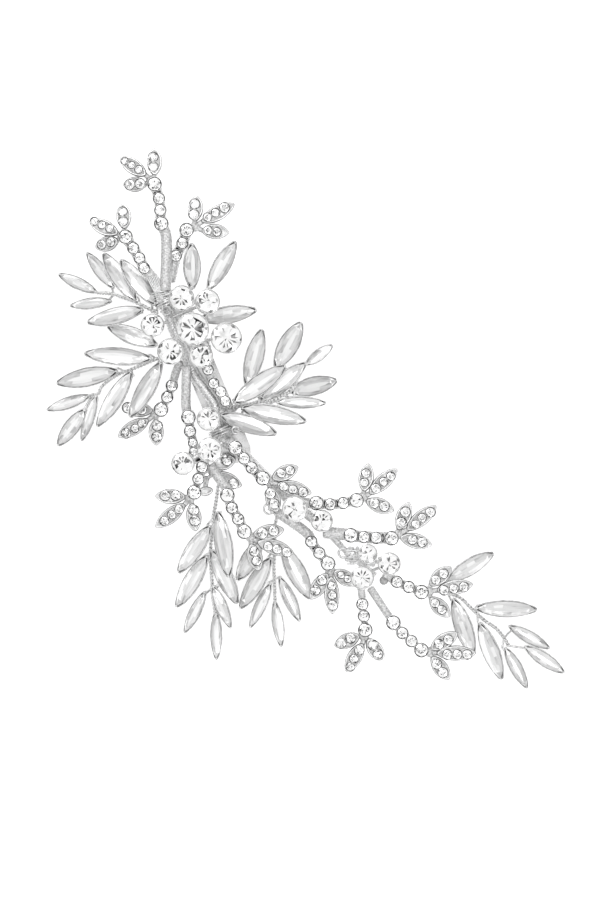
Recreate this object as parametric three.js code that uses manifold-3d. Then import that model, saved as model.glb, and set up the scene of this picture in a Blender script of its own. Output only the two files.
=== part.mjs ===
// Rhinestone hair clip: a spray of faceted stones wired to a curved stem,
// carried on a sprung alligator clip.
//
// Frame: millimetres. The ornament lies face up with its leaf tips on the
// ground plane z = 0, +Z points out of the face of the ornament, and the
// origin is under the middle of the whole piece.
//
// Every stone setting, twig, leaf pair, stem and clip part is its own solid.
// The small channel-set stones of one twig are part of that twig's casting.

import * as THREE from 'three';
import { mergeVertices } from 'three/addons/utils/BufferGeometryUtils.js';
import Module from 'manifold-3d';

const wasm = await Module();
wasm.setup();

// ---------------------------------------------------------------- sizes (mm)
const STEM_R = 1.55;          // main wrapped stem
const SPRAY_R = 0.55;         // twisted wire of a leaf spray
const PAIR_R = 0.4;           // wire that carries two opposite leaves
const STONE_WIRE_R = 0.45;    // wire under a large round stone
const LEAF_T = 1.9;           // thickness of a large navette in its setting
const LEAF_T_SMALL = 1.6;     // thickness of a small navette in its setting
const ROD_FLAT = 0.68;        // height / width of a cast twig rod
const TREFOIL_W = 3.75;       // width of a pave leaf
const TREFOIL_T = 1.1;        // its thickness
const PAVE_H = 0.55;          // height of its stones above the leaf
const JOINT_D = 3.5;          // stone where the three pave leaves meet
const CLIP_W = 7.4;           // clip width
const PLATE_L = 30.5;           // hinge to tip of the clip's plate
const PLATE_TAIL = 15;        // hinge to the finger end of the plate
const PLATE_T = 0.9;          // plate thickness
const JAW_W = 5.6;            // jaw and lever width
const JAW_T = 0.9;
const PIN_R = 0.8;
const EAR_T = 0.7;
const SPRING_WIRE_R = 0.35;
const BIND_R = 0.5;           // wire that ties the ornament to the clip

// ------------------------------------------------------------ layout (mm)
const SPRAYS = {
  upper_left: {
    stem: [[-37.01, 26.74, 16.6], [-38.55, 27.32, 16.06], [-42.38, 29.22, 13.78], [-46.38, 30.77, 10.87], [-48.3, 31.52, 9.32], [-52.51, 32.09, 5.9]],
    ends: [
      { base: [-52.76, 32.14, 5.8], tip: [-62.73, 37.0, 0.6], width: 3.38, roll: 16 },
    ],
    pairs: [
      { a: { base: [-48.88, 29.8, 8.95], tip: [-59.65, 28.9, 2.75], width: 3.38, roll: 25 }, b: { base: [-48.3, 33.07, 9.05], tip: [-55.33, 42.24, 4.34], width: 3.5, roll: 0 }, wire: [[-48.57, 31.56, 7.45]] },
      { a: { base: [-42.76, 29.64, 15.41], tip: [-50.92, 41.88, 8.7], width: 5.0, roll: 25 }, b: { base: [-40.66, 27.32, 17.02], tip: [-54.95, 24.52, 8.7], width: 5.0, roll: 25 }, wire: [[-42.26, 30.94, 12.84], [-41.54, 28.8, 12.63], [-40.98, 26.68, 14.45]] },
      { a: { base: [-37.55, 28.55, 17.3], tip: [-46.36, 40.07, 12.2], width: 5.0, roll: 25 }, b: { base: [-37.26, 18.52, 15.1], tip: [-49.86, 23.59, 10.2], width: 5.0, roll: 25 }, wire: [[-38.5, 27.3, 14.43]] },
    ],
  },
  lower_left: {
    stem: [[-35.51, 15.64, 15.9], [-37.41, 15.07, 15.39], [-44.28, 12.39, 12.07], [-47.36, 11.24, 10.24], [-51.55, 8.19, 7.05], [-52.33, 6.64, 5.92], [-54.26, 6.27, 4.6]],
    ends: [
      { base: [-54.46, 6.14, 4.5], tip: [-65.69, 2.52, 0.6], width: 3.38, roll: 16 },
    ],
    pairs: [
      { a: { base: [-55.78, 2.69, 4.9], tip: [-62.93, -6.5, 0.6], width: 4.25, roll: 0 }, b: { base: [-52.73, 6.14, 7.41], tip: [-56.74, -5.29, 2.46], width: 3.38, roll: 25 }, wire: [[-53.53, 6.41, 3.45], [-52.5, 4.93, 4.99]] },
      { a: { base: [-47.18, 12.24, 12.5], tip: [-62.93, 9.25, 5.19], width: 5.0, roll: 0 }, b: { base: [-43.53, 12.02, 14.29], tip: [-52.54, -1.66, 8.2], width: 5.0, roll: 25 }, wire: [[-47.45, 12.97, 9.93], [-45.31, 12.0, 9.81], [-43.15, 11.06, 11.72]] },
      { a: { base: [-38.55, 15.07, 16.88], tip: [-55.43, 16.54, 14.2], width: 5.0, roll: 21 }, b: { base: [-36.05, 14.3, 17.64], tip: [-44.01, 0.6, 14.3], width: 5.0, roll: 18 }, wire: [[-39.0, 16.22, 14.31], [-37.4, 15.07, 13.74], [-35.9, 13.8, 15.07]] },
    ],
  },
  right: {
    stem: [[-19.38, 2.89, 16.6], [-17.15, 3.35, 16.19], [-13.63, 3.97, 15.18], [-11.16, 4.59, 14.33], [-8.66, 4.39, 13.42], [-6.38, 5.84, 12.36], [-4.1, 7.07, 11.28], [-1.21, 12.05, 8.7]],
    ends: [
      { base: [-0.16, 13.92, 8.6], tip: [6.72, 18.94, 0.6], width: 3.38, roll: 16 },
    ],
    pairs: [
      { a: { base: [-4.1, 7.07, 8.8], tip: [7.86, 10.03, 0.6], width: 5.0, roll: 0 }, b: { base: [-7.43, 4.39, 14.83], tip: [5.07, 4.17, 12.91], width: 3.38, roll: 16 }, wire: [[-3.32, 5.62, 10.68], [-6.24, 5.92, 10.64], [-6.9, 3.55, 12.41]] },
      { a: { base: [-7.63, 12.89, 10.5], tip: [-1.19, 24.71, 3.2], width: 5.5, roll: 0 }, b: { base: [-11.55, 4.59, 12.3], tip: [-0.06, 14.31, 11.5], width: 5.0, roll: 25 }, wire: [[-11.24, 4.57, 12.71], [-11.93, 6.1, 13.86]] },
      { a: { base: [-18.0, 4.17, 18.28], tip: [-5.15, 13.44, 13.3], width: 5.0, roll: 0 }, b: { base: [-16.13, 2.94, 17.9], tip: [0.09, -0.43, 13.7], width: 5.0, roll: 18 }, wire: [[-18.14, 4.83, 15.71], [-14.51, 3.81, 13.78], [-15.94, 1.89, 15.33]] },
      { a: { base: [-14.88, 8.32, 12.1], tip: [-11.09, 22.86, 6.2], width: 5.0, roll: 0 }, b: { base: [-21.3, 1.27, 19.6], tip: [-7.39, -3.56, 16.1], width: 5.0, roll: 25 }, wire: [[-16.75, 3.42, 14.42], [-19.05, 1.27, 16.0]] },
    ],
  },
  lower_middle: {
    stem: [[-20.5, -10.61, 14.0], [-21.38, -13.61, 13.31], [-22.03, -16.93, 12.44], [-22.65, -21.16, 11.29], [-23.25, -24.2, 10.42], [-23.25, -27.23, 9.55], [-24.0, -32.08, 8.11], [-23.71, -40.86, 5.45], [-23.4, -45.41, 4.04], [-22.8, -49.33, 2.8]],
    ends: [
      { base: [-22.8, -48.43, 2.6], tip: [-22.65, -60.8, 0.6], width: 3.38, roll: 16 },
    ],
    pairs: [
      { a: { base: [-25.38, -43.28, 4.64], tip: [-30.79, -53.95, 1.07], width: 3.38, roll: 16 }, b: { base: [-23.4, -41.76, 6.99], tip: [-19.06, -52.74, 1.02], width: 3.38, roll: 16 }, wire: [[-23.6, -42.47, 3.3], [-22.0, -41.66, 4.57]] },
      { a: { base: [-24.75, -34.18, 9.45], tip: [-32.76, -47.27, 3.7], width: 5.0, roll: 25 }, b: { base: [-23.71, -32.68, 9.9], tip: [-17.4, -46.38, 4.7], width: 5.0, roll: 25 }, wire: [[-25.58, -34.21, 6.88], [-23.96, -33.42, 6.05], [-22.33, -32.63, 7.33]] },
      { a: { base: [-23.86, -26.61, 11.7], tip: [-32.17, -38.48, 7.2], width: 5.0, roll: 25 }, b: { base: [-22.03, -22.98, 12.79], tip: [-19.26, -39.43, 14.7], width: 5.0, roll: 18 }, wire: [[-24.9, -26.61, 9.13], [-23.25, -24.7, 8.63], [-21.35, -23.11, 10.22]] },
    ],
  },
  lower_inner: {
    stem: [[-9.38, -22.11, 14.6], [-7.38, -23.98, 13.81], [-7.75, -26.48, 12.86], [-7.88, -34.11, 9.51], [-8.03, -38.11, 7.57], [-7.88, -42.2, 5.47], [-7.75, -45.73, 3.6]],
    ends: [
      { base: [-7.88, -45.73, 3.5], tip: [-6.22, -57.5, 0.6], width: 3.38, roll: 16 },
    ],
    pairs: [
      { a: { base: [-8.83, -41.13, 7.86], tip: [-14.09, -52.46, 5.36], width: 3.38, roll: 16 }, b: { base: [-6.68, -39.51, 8.65], tip: [-1.55, -50.83, 5.46], width: 3.5, roll: 0 }, wire: [[-9.57, -41.16, 5.44], [-7.95, -40.33, 4.78], [-6.33, -39.5, 6.23]] },
      { a: { base: [-8.71, -34.63, 11.21], tip: [-16.56, -47.57, 4.9], width: 5.0, roll: 25 }, b: { base: [-6.0, -31.36, 12.9], tip: [1.16, -45.15, 6.5], width: 5.0, roll: 0 }, wire: [[-9.55, -34.6, 8.64], [-7.86, -32.99, 8.35]] },
    ],
  },
  tail: {
    stem: [[22.5, -40.98, 11.3], [28.5, -42.61, 10.52], [33.74, -43.23, 9.56], [38.52, -44.55, 8.54], [41.4, -47.2, 7.65], [44.74, -50.3, 6.56], [48.09, -52.7, 5.51], [50.24, -55.33, 4.62], [51.2, -57.01, 4.1]],
    ends: [
      { base: [55.27, -57.23, 4.0], tip: [65.5, -64.07, 0.6], width: 3.75, roll: 0 },
    ],
    pairs: [
      { a: { base: [51.2, -51.98, 5.04], tip: [61.69, -57.83, 1.62], width: 3.5, roll: 0 }, b: { base: [50.24, -57.48, 5.94], tip: [56.09, -67.97, 0.6], width: 3.5, roll: 0 }, wire: [[50.19, -55.27, 2.99], [49.73, -57.77, 3.52]] },
      { a: { base: [42.59, -47.2, 9.41], tip: [58.49, -48.04, 1.79], width: 5.0, roll: 25 }, b: { base: [43.77, -51.03, 8.58], tip: [49.61, -65.71, 0.63], width: 5.0, roll: 25 }, wire: [[43.16, -46.58, 6.84], [43.31, -48.97, 5.38], [43.46, -51.36, 6.01]] },
      { a: { base: [35.42, -40.26, 9.6], tip: [47.46, -33.69, 3.2], width: 5.0, roll: 25 }, b: { base: [37.07, -44.8, 10.78], tip: [42.3, -59.62, 2.7], width: 5.0, roll: 18 }, wire: [[35.89, -43.82, 7.45], [36.8, -45.79, 8.21]] },
    ],
  },
};
const LONE_LEAF = { base: [-11.01, -30.11, 12.3], tip: [-17.39, -40.32, 6.2], width: 5.0, roll: 25 };
const FAN = [
  { base: [-28.38, 32.47, 16.9], tip: [-28.51, 43.97, 16.9], width: 5.0, roll: 25 },
  { base: [-24.4, 32.47, 16.9], tip: [-17.58, 44.46, 16.9], width: 5.0, roll: 25 },
  { base: [-22.5, 25.64, 16.9], tip: [-12.28, 27.39, 16.9], width: 5.0, roll: 25 },
];
const TWIGS = {
  top_middle: { width: 3.05, path: [[-35.01, 32.14, 17.3], [-35.08, 46.39, 15.93], [-36.11, 48.87, 15.67], [-36.36, 52.22, 15.35], [-36.73, 55.22, 15.06], [-37.83, 58.79, 14.7]], rod: 2, stones: [[2.0, -36.11, 48.87, 15.67], [2.5, -36.36, 52.22, 15.35], [2.5, -36.73, 55.22, 15.06]], joint: [-37.83, 58.79, 14.7],
    leaves: [
      { base: [-37.83, 60.89, 14.4], tip: [-38.01, 67.94, 12.7], stones: [[-38.21, 65.5, 13.25], [-38.38, 62.99, 13.87]] },
      { base: [-39.88, 61.02, 14.4], tip: [-46.54, 65.64, 12.7], stones: [[-45.23, 64.57, 13.01], [-43.51, 63.59, 13.44], [-41.68, 62.44, 13.9]] },
      { base: [-39.66, 58.89, 14.4], tip: [-45.78, 58.89, 12.7], stones: [[-43.88, 58.79, 13.18], [-41.3, 58.99, 13.92]] },
    ] },
  top_left: { width: 3.05, path: [[-36.88, 33.52, 15.4], [-39.66, 36.89, 15.07], [-40.41, 37.8, 14.99], [-41.61, 40.34, 14.78], [-43.16, 42.82, 14.56], [-45.11, 45.69, 14.3]], rod: 2, stones: [[2.5, -40.41, 37.8, 14.99], [2.5, -41.61, 40.34, 14.78], [2.5, -43.16, 42.82, 14.56]], joint: [-45.11, 45.69, 14.3],
    leaves: [
      { base: [-45.36, 47.52, 14.0], tip: [-45.93, 54.12, 12.2], stones: [[-45.91, 51.84, 12.77], [-45.73, 49.37, 13.47]] },
      { base: [-46.83, 46.42, 14.0], tip: [-54.21, 49.82, 12.2], stones: [[-52.76, 49.72, 12.45], [-50.78, 48.92, 12.94], [-48.91, 47.89, 13.43]] },
      { base: [-46.76, 44.89, 14.0], tip: [-52.75, 43.23, 12.2], stones: [[-50.93, 43.87, 12.7], [-48.66, 44.47, 13.41]] },
    ] },
  top_right: { width: 3.05, path: [[-34.01, 34.64, 15.2], [-32.88, 39.44, 14.87], [-32.51, 40.92, 14.77], [-30.86, 44.04, 14.53], [-29.83, 47.34, 14.3]], rod: 2, stones: [[2.5, -32.51, 40.92, 14.77], [2.5, -30.86, 44.04, 14.53]], joint: [-29.83, 47.34, 14.3],
    leaves: [
      { base: [-27.93, 49.37, 14.0], tip: [-27.36, 56.09, 12.9], stones: [[-27.93, 53.82, 13.25], [-28.3, 51.19, 13.7]] },
      { base: [-26.28, 49.37, 14.0], tip: [-17.89, 54.07, 12.9], stones: [[-20.68, 53.39, 13.2], [-22.98, 52.12, 13.5], [-24.8, 50.74, 13.77]] },
      { base: [-26.28, 47.34, 14.0], tip: [-19.26, 46.85, 12.9], stones: [[-24.63, 47.34, 13.73], [-22.43, 46.97, 13.37]] },
    ] },
  left_low: { width: 2.33, path: [[-31.25, 14.39, 15.3], [-32.38, 12.39, 14.54], [-33.18, 9.69, 13.61], [-33.58, 8.49, 13.19], [-34.76, 5.62, 12.16], [-36.36, 2.52, 11.0]], rod: 3, stones: [[2.5, -33.58, 8.49, 13.19], [2.5, -34.76, 5.62, 12.16]], joint: [-36.36, 2.52, 11.0],
    leaves: [
      { base: [-39.38, 0.12, 10.7], tip: [-47.25, -4.3, 8.9], stones: [[-45.05, -3.31, 9.34], [-42.8, -2.11, 9.86], [-41.05, -0.83, 10.31]] },
      { base: [-37.63, 0.27, 10.7], tip: [-37.63, -6.43, 8.9], stones: [[-37.3, -1.31, 10.26], [-37.48, -4.03, 9.5]] },
      { base: [-38.28, 2.19, 10.7], tip: [-46.18, 3.02, 8.9], stones: [[-44.66, 2.99, 9.2], [-40.98, 2.52, 10.06]] },
    ] },
  inner_long: { width: 2.55, path: [[-29.75, 13.14, 19.3], [-29.86, 8.89, 18.77], [-29.86, 2.89, 18.03], [-29.28, 0.55, 17.73], [-28.9, -2.95, 17.3], [-28.21, -5.83, 16.93], [-28.0, -8.11, 16.65], [-25.25, -12.61, 16.0]], rod: 3, stones: [[2.0, -29.28, 0.55, 17.73], [2.5, -28.9, -2.95, 17.3], [2.5, -28.21, -5.83, 16.93], [2.5, -28.0, -8.11, 16.65]], joint: [-25.25, -12.61, 16.0],
    leaves: [
      { base: [-23.5, -11.61, 15.7], tip: [-17.52, -9.78, 15.5], stones: [[-19.88, -10.01, 15.57]] },
      { base: [-23.5, -13.61, 15.7], tip: [-16.02, -16.57, 15.5], stones: [[-18.21, -15.98, 15.55]] },
      { base: [-25.3, -16.61, 15.7], tip: [-24.97, -19.1, 15.5], stones: [] },
    ] },
  inner_low: { width: 2.25, path: [[-25.05, -10.36, 19.5], [-25.36, -10.86, 19.37], [-25.86, -11.86, 19.13], [-26.8, -14.76, 18.47], [-27.86, -18.16, 17.7]], rod: 2, stones: [[2.5, -25.86, -11.86, 19.13], [2.5, -26.8, -14.76, 18.47]], joint: [-27.86, -18.16, 17.7],
    leaves: [
      { base: [-29.9, -19.31, 17.4], tip: [-37.65, -19.12, 16.3], stones: [[-35.03, -18.98, 16.65], [-32.38, -18.91, 17.04]] },
      { base: [-30.08, -21.06, 17.4], tip: [-37.6, -26.93, 16.3], stones: [[-35.26, -25.28, 16.61], [-33.43, -23.68, 16.9], [-31.58, -22.33, 17.17]] },
      { base: [-28.48, -20.73, 17.4], tip: [-27.57, -27.83, 16.3], stones: [[-28.0, -22.48, 17.11], [-27.75, -25.11, 16.69]] },
    ] },
  middle_over: { width: 2.8, path: [[-19.5, -5.36, 19.9], [-18.75, -6.11, 19.88], [-17.58, -7.06, 19.86], [-15.43, -9.7, 19.81], [-13.51, -12.01, 19.76], [-10.73, -14.63, 19.7]], rod: 2, stones: [[2.0, -17.58, -7.06, 19.86], [2.5, -15.43, -9.7, 19.81], [2.5, -13.51, -12.01, 19.76]], joint: [-10.73, -14.63, 19.7],
    leaves: [
      { base: [-8.58, -14.78, 19.4], tip: [-1.9, -11.8, 18.9], stones: [[-6.35, -13.18, 19.21], [-4.03, -12.7, 19.05]] },
      { base: [-7.3, -16.06, 19.4], tip: [1.39, -18.34, 18.9], stones: [[-5.55, -16.76, 19.29], [-3.33, -17.56, 19.16], [-0.85, -18.13, 19.01]] },
      { base: [-9.23, -16.68, 19.4], tip: [-7.23, -23.14, 18.9], stones: [[-8.91, -18.43, 19.26], [-7.96, -20.98, 19.06]] },
    ] },
  middle_low: { width: 2.8, path: [[-23.75, -11.36, 18.9], [-22.0, -14.11, 18.66], [-20.0, -16.86, 18.4], [-19.58, -18.86, 18.25], [-18.46, -22.01, 18.0], [-16.9, -24.8, 17.76], [-15.36, -27.95, 17.5]], rod: 3, stones: [[2.0, -19.58, -18.86, 18.25], [2.5, -18.46, -22.01, 18.0], [2.5, -16.9, -24.8, 17.76]], joint: [-15.36, -27.95, 17.5],
    leaves: [
      { base: [-13.26, -28.7, 17.2], tip: [-5.46, -27.44, 16.5], stones: [[-10.85, -28.33, 16.98], [-8.18, -27.76, 16.73]] },
      { base: [-12.3, -30.43, 17.2], tip: [-3.07, -33.38, 16.5], stones: [[-9.53, -31.58, 16.98], [-7.33, -32.53, 16.8], [-4.93, -33.2, 16.62]] },
      { base: [-13.83, -30.83, 17.2], tip: [-11.76, -37.74, 16.5], stones: [[-12.88, -32.83, 16.98], [-12.38, -35.23, 16.73]] },
    ] },
  right_first: { width: 2.8, path: [[-0.51, -20.68, 18.3], [-0.26, -20.73, 18.25], [2.57, -20.83, 17.74], [6.02, -21.16, 17.11], [9.24, -20.83, 16.52], [12.59, -20.16, 15.9]], rod: 2, stones: [[2.0, 2.57, -20.83, 17.74], [2.5, 6.02, -21.16, 17.11], [2.5, 9.24, -20.83, 16.52]], joint: [12.59, -20.16, 15.9],
    leaves: [
      { base: [14.4, -18.13, 15.6], tip: [15.66, -10.98, 14.3], stones: [[14.95, -13.56, 14.75], [14.4, -15.81, 15.18]] },
      { base: [15.72, -18.7, 15.6], tip: [22.83, -12.29, 14.3], stones: [[21.2, -14.36, 14.63], [19.29, -15.58, 14.94], [17.4, -17.26, 15.29]] },
      { base: [14.84, -20.16, 15.6], tip: [21.98, -22.79, 14.3], stones: [[16.95, -20.83, 15.21], [19.42, -21.61, 14.75]] },
    ] },
  right_second: { width: 3.3, path: [[4.5, -28.11, 17.8], [9.49, -28.61, 17.0], [11.15, -28.86, 16.73], [14.4, -29.3, 16.21], [17.52, -29.53, 15.71], [21.32, -29.63, 15.1]], rod: 2, stones: [[2.0, 11.15, -28.86, 16.73], [2.5, 14.4, -29.3, 16.21], [2.5, 17.52, -29.53, 15.71]], joint: [21.32, -29.63, 15.1],
    leaves: [
      { base: [22.97, -27.73, 14.8], tip: [25.87, -20.7, 13.1], stones: [[24.77, -23.28, 13.69], [23.77, -25.83, 14.32]] },
      { base: [25.09, -27.73, 14.8], tip: [32.66, -21.55, 13.1], stones: [[31.02, -23.28, 13.48], [28.9, -24.61, 13.92], [27.34, -26.28, 14.33]] },
      { base: [23.32, -29.3, 14.8], tip: [31.49, -31.37, 13.1], stones: [[26.45, -29.98, 14.14], [28.9, -30.63, 13.61]] },
    ] },
  tail_upper: { width: 2.55, path: [[19.5, -38.61, 15.3], [21.25, -39.61, 14.91], [22.67, -40.51, 14.59], [25.67, -41.83, 13.96], [28.9, -43.13, 13.3]], rod: 2, stones: [[2.5, 22.67, -40.51, 14.59], [2.5, 25.67, -41.83, 13.96]], joint: [28.9, -43.13, 13.3],
    leaves: [
      { base: [30.92, -41.58, 13.0], tip: [36.38, -36.87, 12.3], stones: [[32.49, -40.16, 12.79], [34.4, -38.61, 12.54]] },
      { base: [32.59, -42.78, 13.0], tip: [41.82, -41.19, 12.3], stones: [[34.52, -42.78, 12.85], [37.02, -42.91, 12.67], [39.54, -42.43, 12.47]] },
      { base: [30.92, -44.45, 13.0], tip: [36.02, -49.4, 12.3], stones: [[32.24, -45.88, 12.8], [33.92, -47.55, 12.56]] },
    ] },
  tail_lower: { width: 2.175, path: [[16.09, -42.18, 14.1], [20.5, -48.86, 13.31], [21.84, -50.78, 13.08], [24.12, -53.43, 12.73], [26.4, -55.45, 12.43], [28.9, -57.73, 12.1]], rod: 2, stones: [[2.0, 21.84, -50.78, 13.08], [2.5, 24.12, -53.43, 12.73], [2.5, 26.4, -55.45, 12.43]], joint: [28.9, -57.73, 12.1],
    leaves: [
      { base: [31.17, -57.61, 11.8], tip: [38.08, -53.4, 11.1], stones: [[33.32, -56.3, 11.58], [35.59, -55.2, 11.35]] },
      { base: [32.59, -58.55, 11.8], tip: [42.67, -58.55, 11.1], stones: [[35.34, -59.05, 11.6], [37.87, -59.05, 11.42], [40.37, -59.05, 11.25]] },
      { base: [31.42, -59.28, 11.8], tip: [36.0, -65.23, 11.1], stones: [[32.72, -61.2, 11.58], [34.27, -63.36, 11.32]] },
    ] },
  tail_short: { width: 2.05, path: [[13.79, -42.55, 14.1], [14.09, -44.86, 13.6], [14.09, -46.2, 13.31], [14.47, -49.16, 12.67], [14.84, -52.7, 11.9]], rod: 2, stones: [[2.5, 14.09, -46.2, 13.31], [2.5, 14.47, -49.16, 12.67]], joint: [14.84, -52.7, 11.9],
    leaves: [
      { base: [13.62, -54.05, 11.6], tip: [7.17, -56.83, 9.9], stones: [[11.32, -54.7, 11.01], [9.02, -56.05, 10.34]] },
      { base: [14.37, -55.95, 11.6], tip: [10.04, -63.24, 9.9], stones: [[13.42, -57.68, 11.19], [12.07, -59.78, 10.68], [11.22, -61.88, 10.22]] },
      { base: [15.32, -54.8, 11.6], tip: [19.39, -60.56, 9.9], stones: [[16.67, -56.33, 11.09], [17.92, -58.63, 10.44]] },
    ] },
  lower_right: { width: 2.8, path: [[-5.78, -24.11, 15.7], [0.72, -28.91, 15.02], [1.29, -30.43, 14.88], [3.29, -33.3, 14.59], [5.5, -35.98, 14.3]], rod: 2, stones: [[2.5, 1.29, -30.43, 14.88], [2.5, 3.29, -33.3, 14.59]], joint: [5.5, -35.98, 14.3],
    leaves: [
      { base: [5.5, -38.28, 14.0], tip: [1.16, -44.99, 12.9], stones: [[3.5, -39.8, 13.66], [1.77, -42.2, 13.24]] },
      { base: [6.27, -39.05, 14.0], tip: [6.65, -48.68, 12.9], stones: [[6.45, -41.53, 13.71], [6.54, -43.83, 13.44], [6.65, -46.41, 13.14]] },
      { base: [6.84, -37.7, 14.0], tip: [12.7, -41.49, 12.9], stones: [[8.65, -38.76, 13.66], [10.27, -39.8, 13.34]] },
    ] },
};
const BRILLIANTS = {
  crown_upper: { d: 6.4, top: [-30.8, 30.02, 26.3], foot: [-33.38, 27.89, 18.62] },
  crown_right: { d: 6.33, top: [-24.4, 29.07, 25.9], foot: [-32.88, 25.64, 18.68] },
  crown_centre: { d: 8.25, top: [-28.03, 22.27, 28.1], foot: [-31.63, 21.64, 18.8] },
  crown_far: { d: 7.85, top: [-19.71, 20.07, 26.5], foot: [-30.63, 19.39, 18.86] },
  crown_left: { d: 6.0, top: [-38.08, 23.34, 23.9], foot: [-34.51, 24.27, 18.71] },
  crown_lower: { d: 6.7, top: [-33.58, 16.82, 25.5], foot: [-31.25, 16.52, 18.91] },
  crown_inner: { d: 6.12, top: [-26.03, 15.77, 24.9], foot: [-28.75, 14.89, 18.95] },
  middle_upper: { d: 5.9, top: [-24.23, 0.07, 24.1], foot: [-22.75, 0.07, 18.95] },
  middle_centre: { d: 6.38, top: [-23.9, -7.58, 25.3], foot: [-21.63, -4.48, 18.95] },
  middle_left: { d: 5.9, top: [-30.55, -10.93, 22.9], foot: [-21.13, -5.86, 18.94] },
  lower_upper: { d: 6.5, top: [-2.8, -22.26, 24.5], foot: [-2.13, -21.61, 17.74] },
  lower_right: { d: 5.62, top: [3.9, -25.18, 22.9], foot: [3.37, -25.86, 17.43] },
  tail_left: { d: 5.92, top: [13.95, -39.36, 21.5], foot: [14.74, -36.98, 16.45] },
  tail_right: { d: 5.8, top: [20.65, -35.88, 21.5], foot: [16.25, -37.86, 16.34] },
};
const MAIN_STEM = [[-35.11, 29.99, 16.3], [-33.26, 23.14, 16.5], [-29.75, 15.39, 16.7], [-28.25, 11.64, 16.7], [-25.25, 7.39, 16.7], [-22.86, 3.74, 16.7], [-21.0, -5.11, 16.7], [-17.75, -6.86, 16.6], [-11.01, -13.36, 16.0], [-4.0, -20.11, 15.6], [4.75, -27.11, 15.1], [9.99, -32.86, 14.6], [17.25, -38.86, 14.0]];
const ROW = [[-25.75, 15.39, 16.7], [-24.38, 12.39, 16.7], [-23.0, 8.99, 16.7], [-21.25, 6.92, 16.7], [-20.13, 4.55, 16.7], [-20.75, 2.64, 16.7], [-21.63, 0.89, 16.7]];
const CLIP_AT = [-28.11, 17.59, 11.6]; // hinge pin centre
const FAN_HUB = [-30.63, 26.17, 17.3];
const CLIP_TURN = -67.2; // degrees about +Z from +X to the jaw tip
// wire ties: x along the clip, loop of [y, z] points round the plate and stem
const TIES = [
  { x: -13.4, loop: [[4.4, 2.6], [4.0, 4.2], [1.2, 6.3], [-2.0, 7.3], [-4.0, 6.0], [-4.5, 3.6], [-4.2, 1.6], [-3.2, 1.35], [3.2, 1.35], [4.2, 1.7]] },
  { x: 21.6, loop: [[4.8, 2.9], [3.7, 4.2], [0.9, 6.1], [-1.6, 7.5], [-4.0, 6.2], [-4.7, 3.6], [-4.3, 1.6], [-3.2, 1.35], [3.2, 1.35], [4.2, 1.7]] },
];

// knot of wrapped wire under the tail: bar points, radius, and its round stone
const KNOT = { bar: [[9.6, -33.4, 15.4], [13.0, -34.2, 15.9], [17.4, -35.0, 15.9]], r: 1.9, stone: [15.37, -33.46, 19.3], d: 5.0 };

// ------------------------------------------------------------------- helpers
const V = (p) => new THREE.Vector3(p[0], p[1], p[2]);

function clean(geometry) {
  const g = geometry.clone();
  for (const name of Object.keys(g.attributes)) if (name !== 'position') g.deleteAttribute(name);
  return mergeVertices(g, 1e-4);
}

// A closed three.js geometry as a manifold solid, faces pointing out.
function solid(geometry) {
  const g = clean(geometry);
  const p = g.attributes.position.array;
  const t = Uint32Array.from(g.index.array);
  let volume = 0;
  for (let i = 0; i < t.length; i += 3) {
    const [a, b, c] = [t[i] * 3, t[i + 1] * 3, t[i + 2] * 3];
    volume += p[a] * (p[b + 1] * p[c + 2] - p[b + 2] * p[c + 1])
      - p[a + 1] * (p[b] * p[c + 2] - p[b + 2] * p[c])
      + p[a + 2] * (p[b] * p[c + 1] - p[b + 1] * p[c]);
  }
  if (volume < 0) for (let i = 0; i < t.length; i += 3) [t[i + 1], t[i + 2]] = [t[i + 2], t[i + 1]];
  const m = new wasm.Mesh({ numProp: 3, vertProperties: Float32Array.from(p), triVerts: t });
  return new wasm.Manifold(m);
}

const join = (list) => list.slice(1).reduce((s, m) => s.add(m), list[0]);

function geometryOf(manifold) {
  const m = manifold.getMesh();
  const g = new THREE.BufferGeometry();
  g.setAttribute('position', new THREE.BufferAttribute(Float32Array.from(m.vertProperties), 3));
  g.setIndex(Array.from(m.triVerts));
  g.computeVertexNormals();
  return g;
}

function ngon(r, sides, squash = 1, start = 0) {
  const s = new THREE.Shape();
  for (let i = 0; i < sides; i++) {
    const a = start + (i / sides) * Math.PI * 2;
    const x = r * Math.cos(a);
    const y = r * Math.sin(a) * squash;
    if (i) s.lineTo(x, y); else s.moveTo(x, y);
  }
  s.closePath();
  return s;
}

// A round bar along points. flat < 1 presses it down in z.
function bar(points, r, { sides = 7, flat = 1, steps = 0, closed = false } = {}) {
  const pts = points.map((p) => new THREE.Vector3(p[0], p[1], p[2] / flat));
  const path = pts.length === 2 ? new THREE.LineCurve3(pts[0], pts[1])
    : new THREE.CatmullRomCurve3(pts, closed, 'centripetal');
  const g = new THREE.ExtrudeGeometry(ngon(r, sides), {
    steps: steps || (pts.length === 2 ? 1 : (pts.length - 1) * 2),
    extrudePath: path, bevelEnabled: false, curveSegments: 1,
  });
  g.scale(1, 1, flat);
  return solid(g);
}

// A frame whose x runs from base to tip and whose z faces up, rolled about x.
function frameFrom(base, tip, rollDeg = 0) {
  const x = V(tip).sub(V(base)).normalize();
  let z = new THREE.Vector3(0, 0, 1);
  z.addScaledVector(x, -z.dot(x)).normalize();
  z.applyAxisAngle(x, THREE.MathUtils.degToRad(rollDeg));
  const y = new THREE.Vector3().crossVectors(z, x);
  const m = new THREE.Matrix4().makeBasis(x, y, z);
  m.setPosition(V(base));
  return m;
}

const OUTLINE = [0.04, 0.28, 0.66, 0.95];
const PAVE_OUTLINE = [0.05, 0.25, 0.72, 0.95];

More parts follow.
